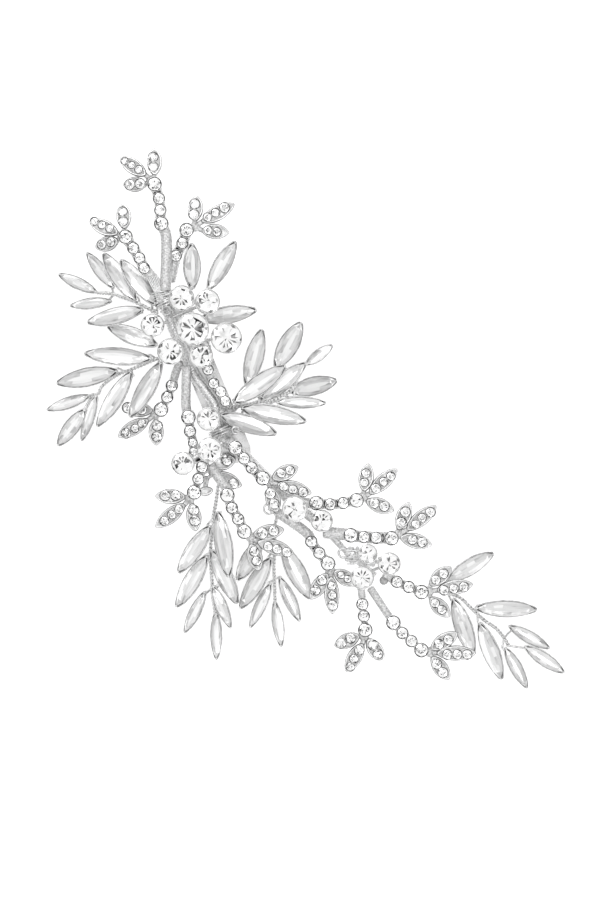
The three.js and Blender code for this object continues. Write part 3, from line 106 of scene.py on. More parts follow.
# twigs: rod width, path (rod then stones then joint), number of rod points,
# big or small stones, leaves as (base, tip, stones)
TWIGS = {
    "top_middle": dict(width=3.05, path=[(-35.01, 32.14, 17.3), (-35.08, 46.39, 15.93), (-36.11, 48.87, 15.67), (-36.36, 52.22, 15.35), (-36.73, 55.22, 15.06), (-37.83, 58.79, 14.7)], rod=2,
        big=[1, 0, 0],
        leaves=[((-37.83, 60.89, 14.4), (-38.01, 67.94, 12.7), [(-38.21, 65.5, 13.25), (-38.38, 62.99, 13.87)]),
            ((-39.88, 61.02, 14.4), (-46.54, 65.64, 12.7), [(-45.23, 64.57, 13.01), (-43.51, 63.59, 13.44), (-41.68, 62.44, 13.9)]),
            ((-39.66, 58.89, 14.4), (-45.78, 58.89, 12.7), [(-43.88, 58.79, 13.18), (-41.3, 58.99, 13.92)])]),
    "top_left": dict(width=3.05, path=[(-36.88, 33.52, 15.4), (-39.66, 36.89, 15.07), (-40.41, 37.8, 14.99), (-41.61, 40.34, 14.78), (-43.16, 42.82, 14.56), (-45.11, 45.69, 14.3)], rod=2,
        big=[0, 0, 0],
        leaves=[((-45.36, 47.52, 14), (-45.93, 54.12, 12.2), [(-45.91, 51.84, 12.77), (-45.73, 49.37, 13.47)]),
            ((-46.83, 46.42, 14), (-54.21, 49.82, 12.2), [(-52.76, 49.72, 12.45), (-50.78, 48.92, 12.94), (-48.91, 47.89, 13.43)]),
            ((-46.76, 44.89, 14), (-52.75, 43.23, 12.2), [(-50.93, 43.87, 12.7), (-48.66, 44.47, 13.41)])]),
    "top_right": dict(width=3.05, path=[(-34.01, 34.64, 15.2), (-32.88, 39.44, 14.87), (-32.51, 40.92, 14.77), (-30.86, 44.04, 14.53), (-29.83, 47.34, 14.3)], rod=2,
        big=[0, 0],
        leaves=[((-27.93, 49.37, 14), (-27.36, 56.09, 12.9), [(-27.93, 53.82, 13.25), (-28.3, 51.19, 13.7)]),
            ((-26.28, 49.37, 14), (-17.89, 54.07, 12.9), [(-20.68, 53.39, 13.2), (-22.98, 52.12, 13.5), (-24.8, 50.74, 13.77)]),
            ((-26.28, 47.34, 14), (-19.26, 46.85, 12.9), [(-24.63, 47.34, 13.73), (-22.43, 46.97, 13.37)])]),
    "left_low": dict(width=2.33, path=[(-31.25, 14.39, 15.3), (-32.38, 12.39, 14.54), (-33.18, 9.69, 13.61), (-33.58, 8.49, 13.19), (-34.76, 5.62, 12.16), (-36.36, 2.52, 11)], rod=3,
        big=[0, 0],
        leaves=[((-39.38, 0.12, 10.7), (-47.25, -4.3, 8.9), [(-45.05, -3.31, 9.34), (-42.8, -2.11, 9.86), (-41.05, -0.83, 10.31)]),
            ((-37.63, 0.27, 10.7), (-37.63, -6.43, 8.9), [(-37.3, -1.31, 10.26), (-37.48, -4.03, 9.5)]),
            ((-38.28, 2.19, 10.7), (-46.18, 3.02, 8.9), [(-44.66, 2.99, 9.2), (-40.98, 2.52, 10.06)])]),
    "inner_long": dict(width=2.55, path=[(-29.75, 13.14, 19.3), (-29.86, 8.89, 18.77), (-29.86, 2.89, 18.03), (-29.28, 0.55, 17.73), (-28.9, -2.95, 17.3), (-28.21, -5.83, 16.93), (-28, -8.11, 16.65), (-25.25, -12.61, 16)], rod=3,
        big=[1, 0, 0, 0],
        leaves=[((-23.5, -11.61, 15.7), (-17.52, -9.78, 15.5), [(-19.88, -10.01, 15.57)]),
            ((-23.5, -13.61, 15.7), (-16.02, -16.57, 15.5), [(-18.21, -15.98, 15.55)]),
            ((-25.3, -16.61, 15.7), (-24.97, -19.1, 15.5), [])]),
    "inner_low": dict(width=2.25, path=[(-25.05, -10.36, 19.5), (-25.36, -10.86, 19.37), (-25.86, -11.86, 19.13), (-26.8, -14.76, 18.47), (-27.86, -18.16, 17.7)], rod=2,
        big=[0, 0],
        leaves=[((-29.9, -19.31, 17.4), (-37.65, -19.12, 16.3), [(-35.03, -18.98, 16.65), (-32.38, -18.91, 17.04)]),
            ((-30.08, -21.06, 17.4), (-37.6, -26.93, 16.3), [(-35.26, -25.28, 16.61), (-33.43, -23.68, 16.9), (-31.58, -22.33, 17.17)]),
            ((-28.48, -20.73, 17.4), (-27.57, -27.83, 16.3), [(-28, -22.48, 17.11), (-27.75, -25.11, 16.69)])]),
    "middle_over": dict(width=2.8, path=[(-19.5, -5.36, 19.9), (-18.75, -6.11, 19.88), (-17.58, -7.06, 19.86), (-15.43, -9.7, 19.81), (-13.51, -12.01, 19.76), (-10.73, -14.63, 19.7)], rod=2,
        big=[1, 0, 0],
        leaves=[((-8.58, -14.78, 19.4), (-1.9, -11.8, 18.9), [(-6.35, -13.18, 19.21), (-4.03, -12.7, 19.05)]),
            ((-7.3, -16.06, 19.4), (1.39, -18.34, 18.9), [(-5.55, -16.76, 19.29), (-3.33, -17.56, 19.16), (-0.85, -18.13, 19.01)]),
            ((-9.23, -16.68, 19.4), (-7.23, -23.14, 18.9), [(-8.91, -18.43, 19.26), (-7.96, -20.98, 19.06)])]),
    "middle_low": dict(width=2.8, path=[(-23.75, -11.36, 18.9), (-22, -14.11, 18.66), (-20, -16.86, 18.4), (-19.58, -18.86, 18.25), (-18.46, -22.01, 18), (-16.9, -24.8, 17.76), (-15.36, -27.95, 17.5)], rod=3,
        big=[1, 0, 0],
        leaves=[((-13.26, -28.7, 17.2), (-5.46, -27.44, 16.5), [(-10.85, -28.33, 16.98), (-8.18, -27.76, 16.73)]),
            ((-12.3, -30.43, 17.2), (-3.07, -33.38, 16.5), [(-9.53, -31.58, 16.98), (-7.33, -32.53, 16.8), (-4.93, -33.2, 16.62)]),
            ((-13.83, -30.83, 17.2), (-11.76, -37.74, 16.5), [(-12.88, -32.83, 16.98), (-12.38, -35.23, 16.73)])]),
    "right_first": dict(width=2.8, path=[(-0.51, -20.68, 18.3), (-0.26, -20.73, 18.25), (2.57, -20.83, 17.74), (6.02, -21.16, 17.11), (9.24, -20.83, 16.52), (12.59, -20.16, 15.9)], rod=2,
        big=[1, 0, 0],
        leaves=[((14.4, -18.13, 15.6), (15.66, -10.98, 14.3), [(14.95, -13.56, 14.75), (14.4, -15.81, 15.18)]),
            ((15.72, -18.7, 15.6), (22.83, -12.29, 14.3), [(21.2, -14.36, 14.63), (19.29, -15.58, 14.94), (17.4, -17.26, 15.29)]),
            ((14.84, -20.16, 15.6), (21.98, -22.79, 14.3), [(16.95, -20.83, 15.21), (19.42, -21.61, 14.75)])]),
    "right_second": dict(width=3.3, path=[(4.5, -28.11, 17.8), (9.49, -28.61, 17), (11.15, -28.86, 16.73), (14.4, -29.3, 16.21), (17.52, -29.53, 15.71), (21.32, -29.63, 15.1)], rod=2,
        big=[1, 0, 0],
        leaves=[((22.97, -27.73, 14.8), (25.87, -20.7, 13.1), [(24.77, -23.28, 13.69), (23.77, -25.83, 14.32)]),
            ((25.09, -27.73, 14.8), (32.66, -21.55, 13.1), [(31.02, -23.28, 13.48), (28.9, -24.61, 13.92), (27.34, -26.28, 14.33)]),
            ((23.32, -29.3, 14.8), (31.49, -31.37, 13.1), [(26.45, -29.98, 14.14), (28.9, -30.63, 13.61)])]),
    "tail_upper": dict(width=2.55, path=[(19.5, -38.61, 15.3), (21.25, -39.61, 14.91), (22.67, -40.51, 14.59), (25.67, -41.83, 13.96), (28.9, -43.13, 13.3)], rod=2,
        big=[0, 0],
        leaves=[((30.92, -41.58, 13), (36.38, -36.87, 12.3), [(32.49, -40.16, 12.79), (34.4, -38.61, 12.54)]),
            ((32.59, -42.78, 13), (41.82, -41.19, 12.3), [(34.52, -42.78, 12.85), (37.02, -42.91, 12.67), (39.54, -42.43, 12.47)]),
            ((30.92, -44.45, 13), (36.02, -49.4, 12.3), [(32.24, -45.88, 12.8), (33.92, -47.55, 12.56)])]),
    "tail_lower": dict(width=2.175, path=[(16.09, -42.18, 14.1), (20.5, -48.86, 13.31), (21.84, -50.78, 13.08), (24.12, -53.43, 12.73), (26.4, -55.45, 12.43), (28.9, -57.73, 12.1)], rod=2,
        big=[1, 0, 0],
        leaves=[((31.17, -57.61, 11.8), (38.08, -53.4, 11.1), [(33.32, -56.3, 11.58), (35.59, -55.2, 11.35)]),
            ((32.59, -58.55, 11.8), (42.67, -58.55, 11.1), [(35.34, -59.05, 11.6), (37.87, -59.05, 11.42), (40.37, -59.05, 11.25)]),
            ((31.42, -59.28, 11.8), (36, -65.23, 11.1), [(32.72, -61.2, 11.58), (34.27, -63.36, 11.32)])]),
    "tail_short": dict(width=2.05, path=[(13.79, -42.55, 14.1), (14.09, -44.86, 13.6), (14.09, -46.2, 13.31), (14.47, -49.16, 12.67), (14.84, -52.7, 11.9)], rod=2,
        big=[0, 0],
        leaves=[((13.62, -54.05, 11.6), (7.17, -56.83, 9.9), [(11.32, -54.7, 11.01), (9.02, -56.05, 10.34)]),
            ((14.37, -55.95, 11.6), (10.04, -63.24, 9.9), [(13.42, -57.68, 11.19), (12.07, -59.78, 10.68), (11.22, -61.88, 10.22)]),
            ((15.32, -54.8, 11.6), (19.39, -60.56, 9.9), [(16.67, -56.33, 11.09), (17.92, -58.63, 10.44)])]),
    "lower_right": dict(width=2.8, path=[(-5.78, -24.11, 15.7), (0.72, -28.91, 15.02), (1.29, -30.43, 14.88), (3.29, -33.3, 14.59), (5.5, -35.98, 14.3)], rod=2,
        big=[0, 0],
        leaves=[((5.5, -38.28, 14), (1.16, -44.99, 12.9), [(3.5, -39.8, 13.66), (1.77, -42.2, 13.24)]),
            ((6.27, -39.05, 14), (6.65, -48.68, 12.9), [(6.45, -41.53, 13.71), (6.54, -43.83, 13.44), (6.65, -46.41, 13.14)]),
            ((6.84, -37.7, 14), (12.7, -41.49, 12.9), [(8.65, -38.76, 13.66), (10.27, -39.8, 13.34)])]),
}
# round crystals: outer diameter, centre of the table, foot of the wire
BRILLIANTS = {
    "crown_upper": (6.4, (-30.8, 30.02, 26.3), (-33.38, 27.89, 18.62)),
    "crown_right": (6.33, (-24.4, 29.07, 25.9), (-32.88, 25.64, 18.68)),
    "crown_centre": (8.25, (-28.03, 22.27, 28.1), (-31.63, 21.64, 18.8)),
    "crown_far": (7.85, (-19.71, 20.07, 26.5), (-30.63, 19.39, 18.86)),
    "crown_left": (6, (-38.08, 23.34, 23.9), (-34.51, 24.27, 18.71)),
    "crown_lower": (6.7, (-33.58, 16.82, 25.5), (-31.25, 16.52, 18.91)),
    "crown_inner": (6.12, (-26.03, 15.77, 24.9), (-28.75, 14.89, 18.95)),
    "middle_upper": (5.9, (-24.23, 0.07, 24.1), (-22.75, 0.07, 18.95)),
    "middle_centre": (6.38, (-23.9, -7.58, 25.3), (-21.63, -4.48, 18.95)),
    "middle_left": (5.9, (-30.55, -10.93, 22.9), (-21.13, -5.86, 18.94)),
    "lower_upper": (6.5, (-2.8, -22.26, 24.5), (-2.13, -21.61, 17.74)),
    "lower_right": (5.62, (3.9, -25.18, 22.9), (3.37, -25.86, 17.43)),
    "tail_left": (5.92, (13.95, -39.36, 21.5), (14.74, -36.98, 16.45)),
    "tail_right": (5.8, (20.65, -35.88, 21.5), (16.25, -37.86, 16.34)),
}
ROW = [(-25.75, 15.39, 16.7), (-24.38, 12.39, 16.7), (-23, 8.99, 16.7), (-21.25, 6.92, 16.7), (-20.13, 4.55, 16.7), (-20.75, 2.64, 16.7), (-21.63, 0.89, 16.7)]
CLIP_AT = (-28.11, 17.59, 11.6)

CLIP_TURN = -67.2
TIES = [
    (-13.4, [(4.4, 2.6), (4.0, 4.2), (1.2, 6.3), (-2.0, 7.3), (-4.0, 6.0), (-4.5, 3.6), (-4.2, 1.6), (-3.2, 1.35), (3.2, 1.35), (4.2, 1.7)]),
    (21.6, [(4.8, 2.9), (3.7, 4.2), (0.9, 6.1), (-1.6, 7.5), (-4.0, 6.2), (-4.7, 3.6), (-4.3, 1.6), (-3.2, 1.35), (3.2, 1.35), (4.2, 1.7)]),
]
ROD_FLAT = 0.68
JOINT_D = 3.5

# ------------------------------------------------------------- mesh builder


class Part:
    """Collects closed shells, then turns into one mesh object."""

    def __init__(self):
        self.v, self.f, self.m, self.s, self.uv = [], [], [], [], []

    def add(self, verts, faces, mat=0, smooth=False, uv=None):
        o = len(self.v)
        self.v.extend(tuple(p) for p in verts)
        self.f.extend(tuple(i + o for i in f) for f in faces)
        self.m.extend(mat if isinstance(mat, list) else [mat] * len(faces))
        self.s.extend([smooth] * len(faces))
        self.uv.extend(uv if uv else [(p[0] * 0.1, p[1] * 0.1) for p in verts])

    def make(self, name, mats, slot, replaces=(), body="ornament"):
        me = bpy.data.meshes.new(name)
        me.from_pydata([(x * MM, y * MM, z * MM) for x, y, z in self.v], [], self.f)
        layer = me.uv_layers.new(name="cut")
        loops = [0] * len(me.loops)
        me.loops.foreach_get("vertex_index", loops)
        flat = [c for i in loops for c in self.uv[i]]
        layer.data.foreach_set("uv", flat)
        for mat in mats:
            me.materials.append(mat)
        me.polygons.foreach_set("material_index", self.m)
        me.polygons.foreach_set("use_smooth", self.s)
        bm = bmesh.new()
        bm.from_mesh(me)
        bmesh.ops.recalc_face_normals(bm, faces=bm.faces)
        bm.to_mesh(me)
        bm.free()
        me.update()
        ob = bpy.data.objects.new(name, me)
        bpy.context.scene.collection.objects.link(ob)
        if body:
            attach(ob, body)
        if replaces:
            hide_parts(*replaces)
        return ob


def loft(part, rings, mat=0, smooth=True, cap=True, uv=None, closed=False, cap_mat=None):
    """Joins rings of the same number of points into a skin."""
    n = len(rings[0])
    verts = [p for r in rings for p in r]
    faces, mats = [], []
    k = len(rings)
    for i in range(k if closed else k - 1):
        a, b = i * n, ((i + 1) % k) * n
        for j in range(n):
            faces.append((a + j, a + (j + 1) % n, b + (j + 1) % n, b + j))
            mats.append(mat[i] if isinstance(mat, list) else mat)
    if cap and not closed:
        first = mat[0] if isinstance(mat, list) else mat
        last = mat[-1] if isinstance(mat, list) else mat
        faces.append(tuple(reversed(range(n))))
        mats.append(first)
        faces.append(tuple(range((k - 1) * n, k * n)))
        mats.append(last if cap_mat is None else cap_mat)
    part.add(verts, faces, mats, smooth, uv)


def line(points, step, closed=False):
    """A centripetal curve through the points, sampled about every step."""
    P = [Vector(p) for p in points]
    if closed:
        P = [P[-1]] + P + [P[0], P[1]]
    elif len(P) == 2:
        n = max(1, round((P[1] - P[0]).length / step))
        return [P[0].lerp(P[1], i / n) for i in range(n + 1)]
    else:
        P = [P[0] * 2 - P[1]] + P + [P[-1] * 2 - P[-2]]
    out = []
    for i in range(1, len(P) - 2):
        p0, p1, p2, p3 = P[i - 1 : i + 3]
        t1 = max(1e-4, (p1 - p0).length ** 0.5)
        t2 = t1 + max(1e-4, (p2 - p1).length ** 0.5)
        t3 = t2 + max(1e-4, (p3 - p2).length ** 0.5)
        n = max(1, math.ceil((p2 - p1).length / step))
        for k in range(n):
            t = t1 + (t2 - t1) * k / n
            a1 = p0.lerp(p1, t / t1)
            a2 = p1.lerp(p2, (t - t1) / (t2 - t1))
            a3 = p2.lerp(p3, (t - t2) / (t3 - t2))
            b1 = a1.lerp(a2, t / t2)
            b2 = a2.lerp(a3, (t - t1) / (t3 - t1))
            out.append(b1.lerp(b2, (t - t1) / (t2 - t1)))
    if not closed:
        out.append(P[-2])
    return out


def frames(path, closed=False, up=None):
    """Tangent, side and lift at each point; up keeps the lift near +Z."""
    n = len(path)
    out, lift = [], None
    for i, p in enumerate(path):
        a = path[(i - 1) % n] if closed else path[max(0, i - 1)]
        b = path[(i + 1) % n] if closed else path[min(n - 1, i + 1)]
        t = (b - a).normalized()
        if up:
            lift = Vector((0, 0, 1))
        elif lift is None:
            lift = Vector((0, 0, 1)) if abs(t.z) < 0.9 else Vector((1, 0, 0))
        lift = lift - t * lift.dot(t)
        lift = lift.normalized() if lift.length > 1e-6 else Vector((1, 0, 0))
        out.append((p, t.cross(lift).normalized(), lift))
    return out


def tube(part, points, r, sides=8, step=0.5, flat=1.0, up=False, closed=False, mat=0, shape=None, ends=True):
    """Round wire. shape(s, share, angle) scales the radius."""
    path = line(points, step, closed)
    rings = []
    s = 0.0
    total = sum((path[i + 1] - path[i]).length for i in range(len(path) - 1)) or 1.0
    prev = path[0]
    fr = frames(path, closed, up)
    for p, side, lift in fr:
        s += (p - prev).length
        prev = p
        ring = []
        for k in range(sides):
            a = 2 * math.pi * k / sides
            q = r * (shape(s, s / total, a) if shape else 1.0)
            ring.append(p + side * (q * math.cos(a)) + lift * (q * flat * math.sin(a)))
        rings.append(ring)
    if not closed and ends:
        for end, other in ((0, 1), (-1, -2)):
            p = path[end]
            d = (p - path[other]).normalized() * min(r * 0.35, 0.25)
            cap = [p + d + (q - p) * 0.6 for q in rings[end]]
            rings = [cap] + rings if end == 0 else rings + [cap]
    if closed:
        # parallel transport leaves a small twist at the seam, so the last ring is turned back to the first
        base, best = rings[-1], (1e9, 0)
        for k in range(sides):
            d = sum((base[(j + k) % sides] - rings[0][j]).length for j in range(sides))
            best = min(best, (d, k))
        k = best[1]
        if k:
            n = len(rings)
            verts = [p for q in rings for p in q]
            faces = []
            for i in range(n - 1):
                for j in range(sides):
                    faces.append((i * sides + j, i * sides + (j + 1) % sides, (i + 1) * sides + (j + 1) % sides, (i + 1) * sides + j))
            a = (n - 1) * sides
            for j in range(sides):
                faces.append((a + (j + k) % sides, a + (j + 1 + k) % sides, (j + 1) % sides, j))
            part.add(verts, faces, mat, True)
            return
    loft(part, rings, mat, True, closed=closed)


def twist(part, points, reach, r, pitch, strands=2, sides=7, step=0.22, mat=0, turn=0.0):
    """Strands laid round each other along a line."""
    path = line(points, step)
    fr = frames(path)
    for c in range(strands):
        s, prev, pts = 0.0, path[0], []
        for p, side, lift in fr:
            s += (p - prev).length
            prev = p
            a = turn + 2 * math.pi * (s / pitch + c / strands)
            pts.append(p + (side * math.cos(a) + lift * math.sin(a)) * reach)
        rings = []
        for p, side, lift in frames(pts):
            rings.append([p + (side * math.cos(2 * math.pi * k / sides) + lift * math.sin(2 * math.pi * k / sides)) * r for k in range(sides)])
        loft(part, rings, mat, True)


def bead(part, p, r, squash=1.0, mat=0, axis=None, n=8, m=4):
    z = Vector(axis).normalized() if axis is not None else Vector((0, 0, 1))
    x = z.orthogonal().normalized()
    y = z.cross(x)
    p = Vector(p)
    verts = [p - z * r * squash]
    for i in range(1, m):
        a = math.pi * i / m
        for k in range(n):
            b = 2 * math.pi * k / n
            verts.append(p + (x * math.cos(b) + y * math.sin(b)) * (r * math.sin(a)) - z * (r * squash * math.cos(a)))
    verts.append(p + z * r * squash)
    faces = [(0, 1 + (k + 1) % n, 1 + k) for k in range(n)]
    for i in range(m - 2):
        a, b = 1 + i * n, 1 + (i + 1) * n
        faces += [(a + k, a + (k + 1) % n, b + (k + 1) % n, b + k) for k in range(n)]
    top = len(verts) - 1
    a = 1 + (m - 2) * n
    faces += [(a + k, a + (k + 1) % n, top) for k in range(n)]
    part.add(verts, faces, mat, True)


def leaf_frame(base, tip, roll=0.0):
    b, t = Vector(base), Vector(tip)
    x = (t - b).normalized()
    z = Vector((0, 0, 1))
    z = (z - x * z.dot(x)).normalized()
    z = Matrix.Rotation(math.radians(roll), 3, x) @ z
    y = z.cross(x)
    m = Matrix((x, y, z)).transposed().to_4x4()
    m.translation = b
    return m, (t - b).length


def upright(p, m=None):
    """A place at p, standing up, or square to the frame m."""
    out = m.to_3x3().to_4x4() if m is not None else Matrix.Identity(4)
    out.translation = Vector(p)
    return out


# ------------------------------------------------------------------ stones
# crystal materials: 0 bright, 1 grey, 2 dark; the grey and dark facets are painted reflections


def gem(part, place, R, crown, depth, n, seed, share=0.28, table=0.62, swing=0.0, outer=0.7, wild=1.0):
    """A round cut stone: uneven kite cuts seen through the table, star, kite and girdle facets round it. Each facet
    takes the bright, grey or dark crystal material; the grey and dark ones are painted reflections, most of them on one
    side.
    """
    rnd = random.Random(seed)
    verts, faces, mats, uv = [], [], [], []
    off = rnd.random() * 40

    def P(q, a, z):
        verts.append(place @ Vector((q * R * math.cos(a), q * R * math.sin(a), z)))
        uv.append((q * math.cos(a) * 0.5 + off, q * math.sin(a) * 0.5 + off * 0.37))
        return len(verts) - 1

    step = 2 * math.pi / n
    lean = rnd.random() * 2 * math.pi
    reach = rnd.uniform(1.1, 2.1)
    low = crown - R * 0.03
    start = swing + rnd.random() * step
    mid_a = [start + (k + rnd.uniform(-0.10, 0.10) * wild) * step for k in range(n)]
    half = [step * 0.36 * (1 - rnd.uniform(0.0, 0.6) * wild) for k in range(n)]
    inner = [P(table * (0.20 + rnd.uniform(-0.06, 0.30) * wild), mid_a[k], crown - R * 0.035) for k in range(n)]
    cut = [table * (0.84 + rnd.uniform(-0.20, 0.06) * wild) for k in range(n)]
    left = [P(cut[k], mid_a[k] - half[k], low) for k in range(n)]
    right = [P(cut[k], mid_a[k] + half[k], low) for k in range(n)]
    edge = [P(table * (1 + rnd.uniform(-0.07, 0.07) * wild), start + k * step, crown) for k in range(n)]
    star = [P((table + 1) / 2 + 0.02, start + (k + 0.5) * step, crown * 0.56) for k in range(n)]
    rim = [P(1.0, start + k * step, 0.0) for k in range(n)]
    rim2 = [P(1.0, start + (k + 0.5) * step, 0.0) for k in range(n)]
    low1 = [P(0.985, start + k * step, -R * 0.09) for k in range(n)]
    low2 = [P(0.985, start + (k + 0.5) * step, -R * 0.09) for k in range(n)]
    keel = P(0.0, 0.0, -depth)
    middle = P(0.14 * wild * rnd.random(), lean, crown - R * 0.05)

    # painted reflection: facets within reach of the lean direction are more often painted grey or dark, the rest
    # seldom; share sets how many
    def painted_reflection_tone(k, strong, weak, deep=0.6):
        a = (start + k * step - lean + math.pi) % (2 * math.pi) - math.pi
        p = strong if abs(a) < reach else weak
        x = rnd.random()
        return 2 if x < p * deep else 1 if x < p else 0

    for k in range(n):
        j = (k + 1) % n
        faces.append((middle, inner[k], inner[j]))
        mats.append(painted_reflection_tone(k, share * 0.7, share * 0.2))
        t = painted_reflection_tone(k, min(0.92, share * 2.1), share * 0.5, 0.7)
        faces.append((inner[k], right[k], edge[k]))
        mats.append(t)
        faces.append((inner[k], edge[k], left[k]))
        mats.append(t if t == 0 or rnd.random() < 0.35 else 3 - t)
        faces.append((inner[k], inner[j], left[j], right[k]))
        mats.append(1 if rnd.random() < share * 0.18 else 0)
        faces.append((right[k], left[j], edge[j], edge[k]))
        mats.append(painted_reflection_tone(k, share * 0.5, share * 0.2, 0.5))
        faces.append((edge[k], edge[j], star[k]))
        mats.append(painted_reflection_tone(k, share * outer, share * outer * 0.4))
        faces.append((edge[j], star[j], rim[j], star[k]))
        mats.append(1 if rnd.random() < share * 0.2 else 0)
        faces.append((star[k], rim[j], rim2[k]))
        mats.append(painted_reflection_tone(k, share * outer * 0.9, share * outer * 0.5))
        faces.append((star[k], rim2[k], rim[k]))
        mats.append(painted_reflection_tone(k, share * outer * 0.8, share * outer * 0.4))
        faces.append((rim[k], rim2[k], low2[k], low1[k]))
        mats.append(0)
        faces.append((rim2[k], rim[j], low1[j], low2[k]))
        mats.append(0)
        faces.append((low1[k], low2[k], keel))
        mats.append(0)
        faces.append((low2[k], low1[j], keel))
        mats.append(0)
    part.add(verts, faces, mats, False, uv)


def seat(metal, place, R, top, drop, wall=0.13, gap=0.09, n=24, mat=0):
    """A cup round a stone: rounded rim, a dark gap inside it, and its floor; the inner lip is darker metal and the gap
    and floor are near-black, all painted shade.
    """
    a, b = R + gap, R + gap + wall
    rings = [(b * 0.72, -drop), (b * 0.97, -drop * 0.45), (b, top - 0.1), (b - wall * 0.2, top), (a + wall * 0.15, top), (a, top - 0.05), (a - 0.02, top - 0.28)]
    pts = [[place @ Vector((r * math.cos(2 * math.pi * k / n), r * math.sin(2 * math.pi * k / n), z)) for k in range(n)] for r, z in rings]
    loft(metal, pts, [2, 2, 2, mat, 5, 1], True, cap_mat=1)


def prongs(metal, place, R, top, count, r, turn=0.7, drop=0.5):
    for k in range(count):
        a = turn + 2 * math.pi * k / count
        c = Vector((math.cos(a), math.sin(a), 0))
        foot = place @ (c * (R + r * 0.9) + Vector((0, 0, top - drop)))
        knee = place @ (c * (R + r * 0.75) + Vector((0, 0, top - r * 0.2)))
        head = place @ (c * (R * 0.97) + Vector((0, 0, top + r * 0.55)))
        tube(metal, [foot, knee, head], r, sides=6, step=0.4)
        bead(metal, head, r * 1.1, 0.8, n=6, m=4)


# ---------------------------------------------------------- navette crystals


def outline(q, L, W, inset=0.0, full=0.64, blunt=0.0):
    x = q * L
    h = (W / 2) * (blunt + (1 - blunt) * max(0.0, math.sin(math.pi * q)) ** full)
    k = (L - 2.6 * inset) / L
    return L / 2 + (x - L / 2) * k, h * (W - 2 * inset) / W


def navette(metal, glass, base, tip, width, roll, small, seed):
    """A long pointed stone: open-backed cup with a fine rim, facets along its length, claws at both ends."""
    rnd = random.Random(seed)
    M, L = leaf_frame(base, tip, roll)
    t = 1.9 if L > 14.2 else 1.6
    W = width
    N = 18
    qs = [0.5 - 0.5 * math.cos(math.pi * (i + 0.4) / (N - 0.2)) for i in range(N)]

    def ring(inset, z, sx=1.0, sy=1.0):
        up, down = [], []
        for q in qs:
            x, y = outline(q, L, W, inset, 0.78, 0.20)
            x = L / 2 + (x - L / 2) * sx
            up.append(M @ Vector((x, y * sy, z)))
            down.append(M @ Vector((x, -y * sy, z)))
        return down + up[::-1]

    rim = 0.31
    rings = [ring(0, -0.5 * t, 0.84, 0.56), ring(0, -0.30 * t, 0.93, 0.82), ring(0, -0.06 * t, 0.995, 0.985), ring(0, 0.03 * t), ring(0.09, 0.12 * t), ring(0.13, 0.155 * t), ring(rim - 0.06, 0.155 * t), ring(rim, 0.10 * t), ring(rim, 0.02 * t)]
    # outer walls in darker grey and the inner side of the rim darker still are painted shade; the rim top is lighter
    # twisted-wire metal, back and floor cup-back metal
    loft(metal, rings, [2, 2, 3, 3, 3, 4, 5, 2], True, cap_mat=2)
    # claws folded over the ends
    for end, sgn in ((0.0, 1), (1.0, -1)):
        x = end * L
        pts = [Vector((x + sgn * 0.10, 0, -0.12 * t)), Vector((x + sgn * 0.12, 0, 0.12 * t)), Vector((x + sgn * 0.55, 0, 0.20 * t))]
        tube(metal, [M @ p for p in pts], 0.28, sides=8, step=0.3, mat=4)
    # crystal
    lift, h = 0.05 * t, 0.40 * t
    qg = [0.0, 0.13, 0.30, 0.5, 0.70, 0.87, 1.0]
    qm = [0.06, 0.20, 0.40, 0.60, 0.80, 0.94]
    qt = [0.02, 0.16, 0.36, 0.64, 0.84, 0.98]
    verts, uv = [], []
    off = rnd.random() * 60

    def P(q, sx, sy, z, side):
        x, y = outline(q, L, W, rim + 0.03, 0.78, 0.20)
        x = L / 2 + (x - L / 2) * sx
        y = y * sy * side
        verts.append(M @ Vector((x, y, z)))
        uv.append((x * 0.1 + off, y * 0.1 + off * 0.7))
        return len(verts) - 1

    def loop(stations, sx, sy, z):
        return [P(q, sx, sy, z, -1) for q in stations] + [P(q, sx, sy, z, 1) for q in reversed(stations)]

    inner = qg[1:-1]
    g0 = [P(0.0, 1, 1, lift, 0)] + [P(q, 1, 1, lift, -1) for q in inner] + [P(1.0, 1, 1, lift, 0)] + [P(q, 1, 1, lift, 1) for q in reversed(inner)]
    g1 = [P(0.0, 1, 1, lift + 0.1 * t, 0)] + [P(q, 1, 1, lift + 0.1 * t, -1) for q in inner] + [P(1.0, 1, 1, lift + 0.1 * t, 0)] + [P(q, 1, 1, lift + 0.1 * t, 1) for q in reversed(inner)]
    mid = loop(qm, 0.86, 0.62, lift + 0.23 * t)
    tab = [P(0.0, 0.66, 1, h, 0)] + [P(q, 0.66, 0.26, h, -1) for q in qt[1:5]] + [P(1.0, 0.66, 1, h, 0)] + [P(q, 0.66, 0.26, h, 1) for q in reversed(qt[1:5])]
    faces, mats = [], []

    def F(*ids):
        faces.append(ids)
        mats.append(0)

    n = len(g0)  # 12
    F(*reversed(g0))
    for i in range(n):
        F(g0[i], g0[(i + 1) % n], g1[(i + 1) % n], g1[i])
    # mid loop: 12 points, one between each pair of girdle points
    for i in range(n):
        j = (i + 1) % n
        F(g1[i], g1[j], mid[i])
        F(g1[j], mid[j], mid[i])
    # table loop: 10 points
    k = len(tab)
    order = [0, 1, 2, 3, 4, 5, 5, 6, 7, 8, 9, 0]
    for i in range(n):
        j = (i + 1) % n
        a, b = order[i], order[j]
        if a == b:
            F(mid[i], mid[j], tab[a])
        else:
            F(mid[i], mid[j], tab[b], tab[a])
        # each of these facets is painted with either the lit table material or the streaked facet material: painted
        # light
        mats[-1] = 1 if rnd.random() < 0.5 else 0
    # the table takes the lit table material: painted light
    F(*tab)
    mats[-1] = 1
    glass.add(verts, faces, mats, False, uv)

# --------------------------------------------------------------- materials


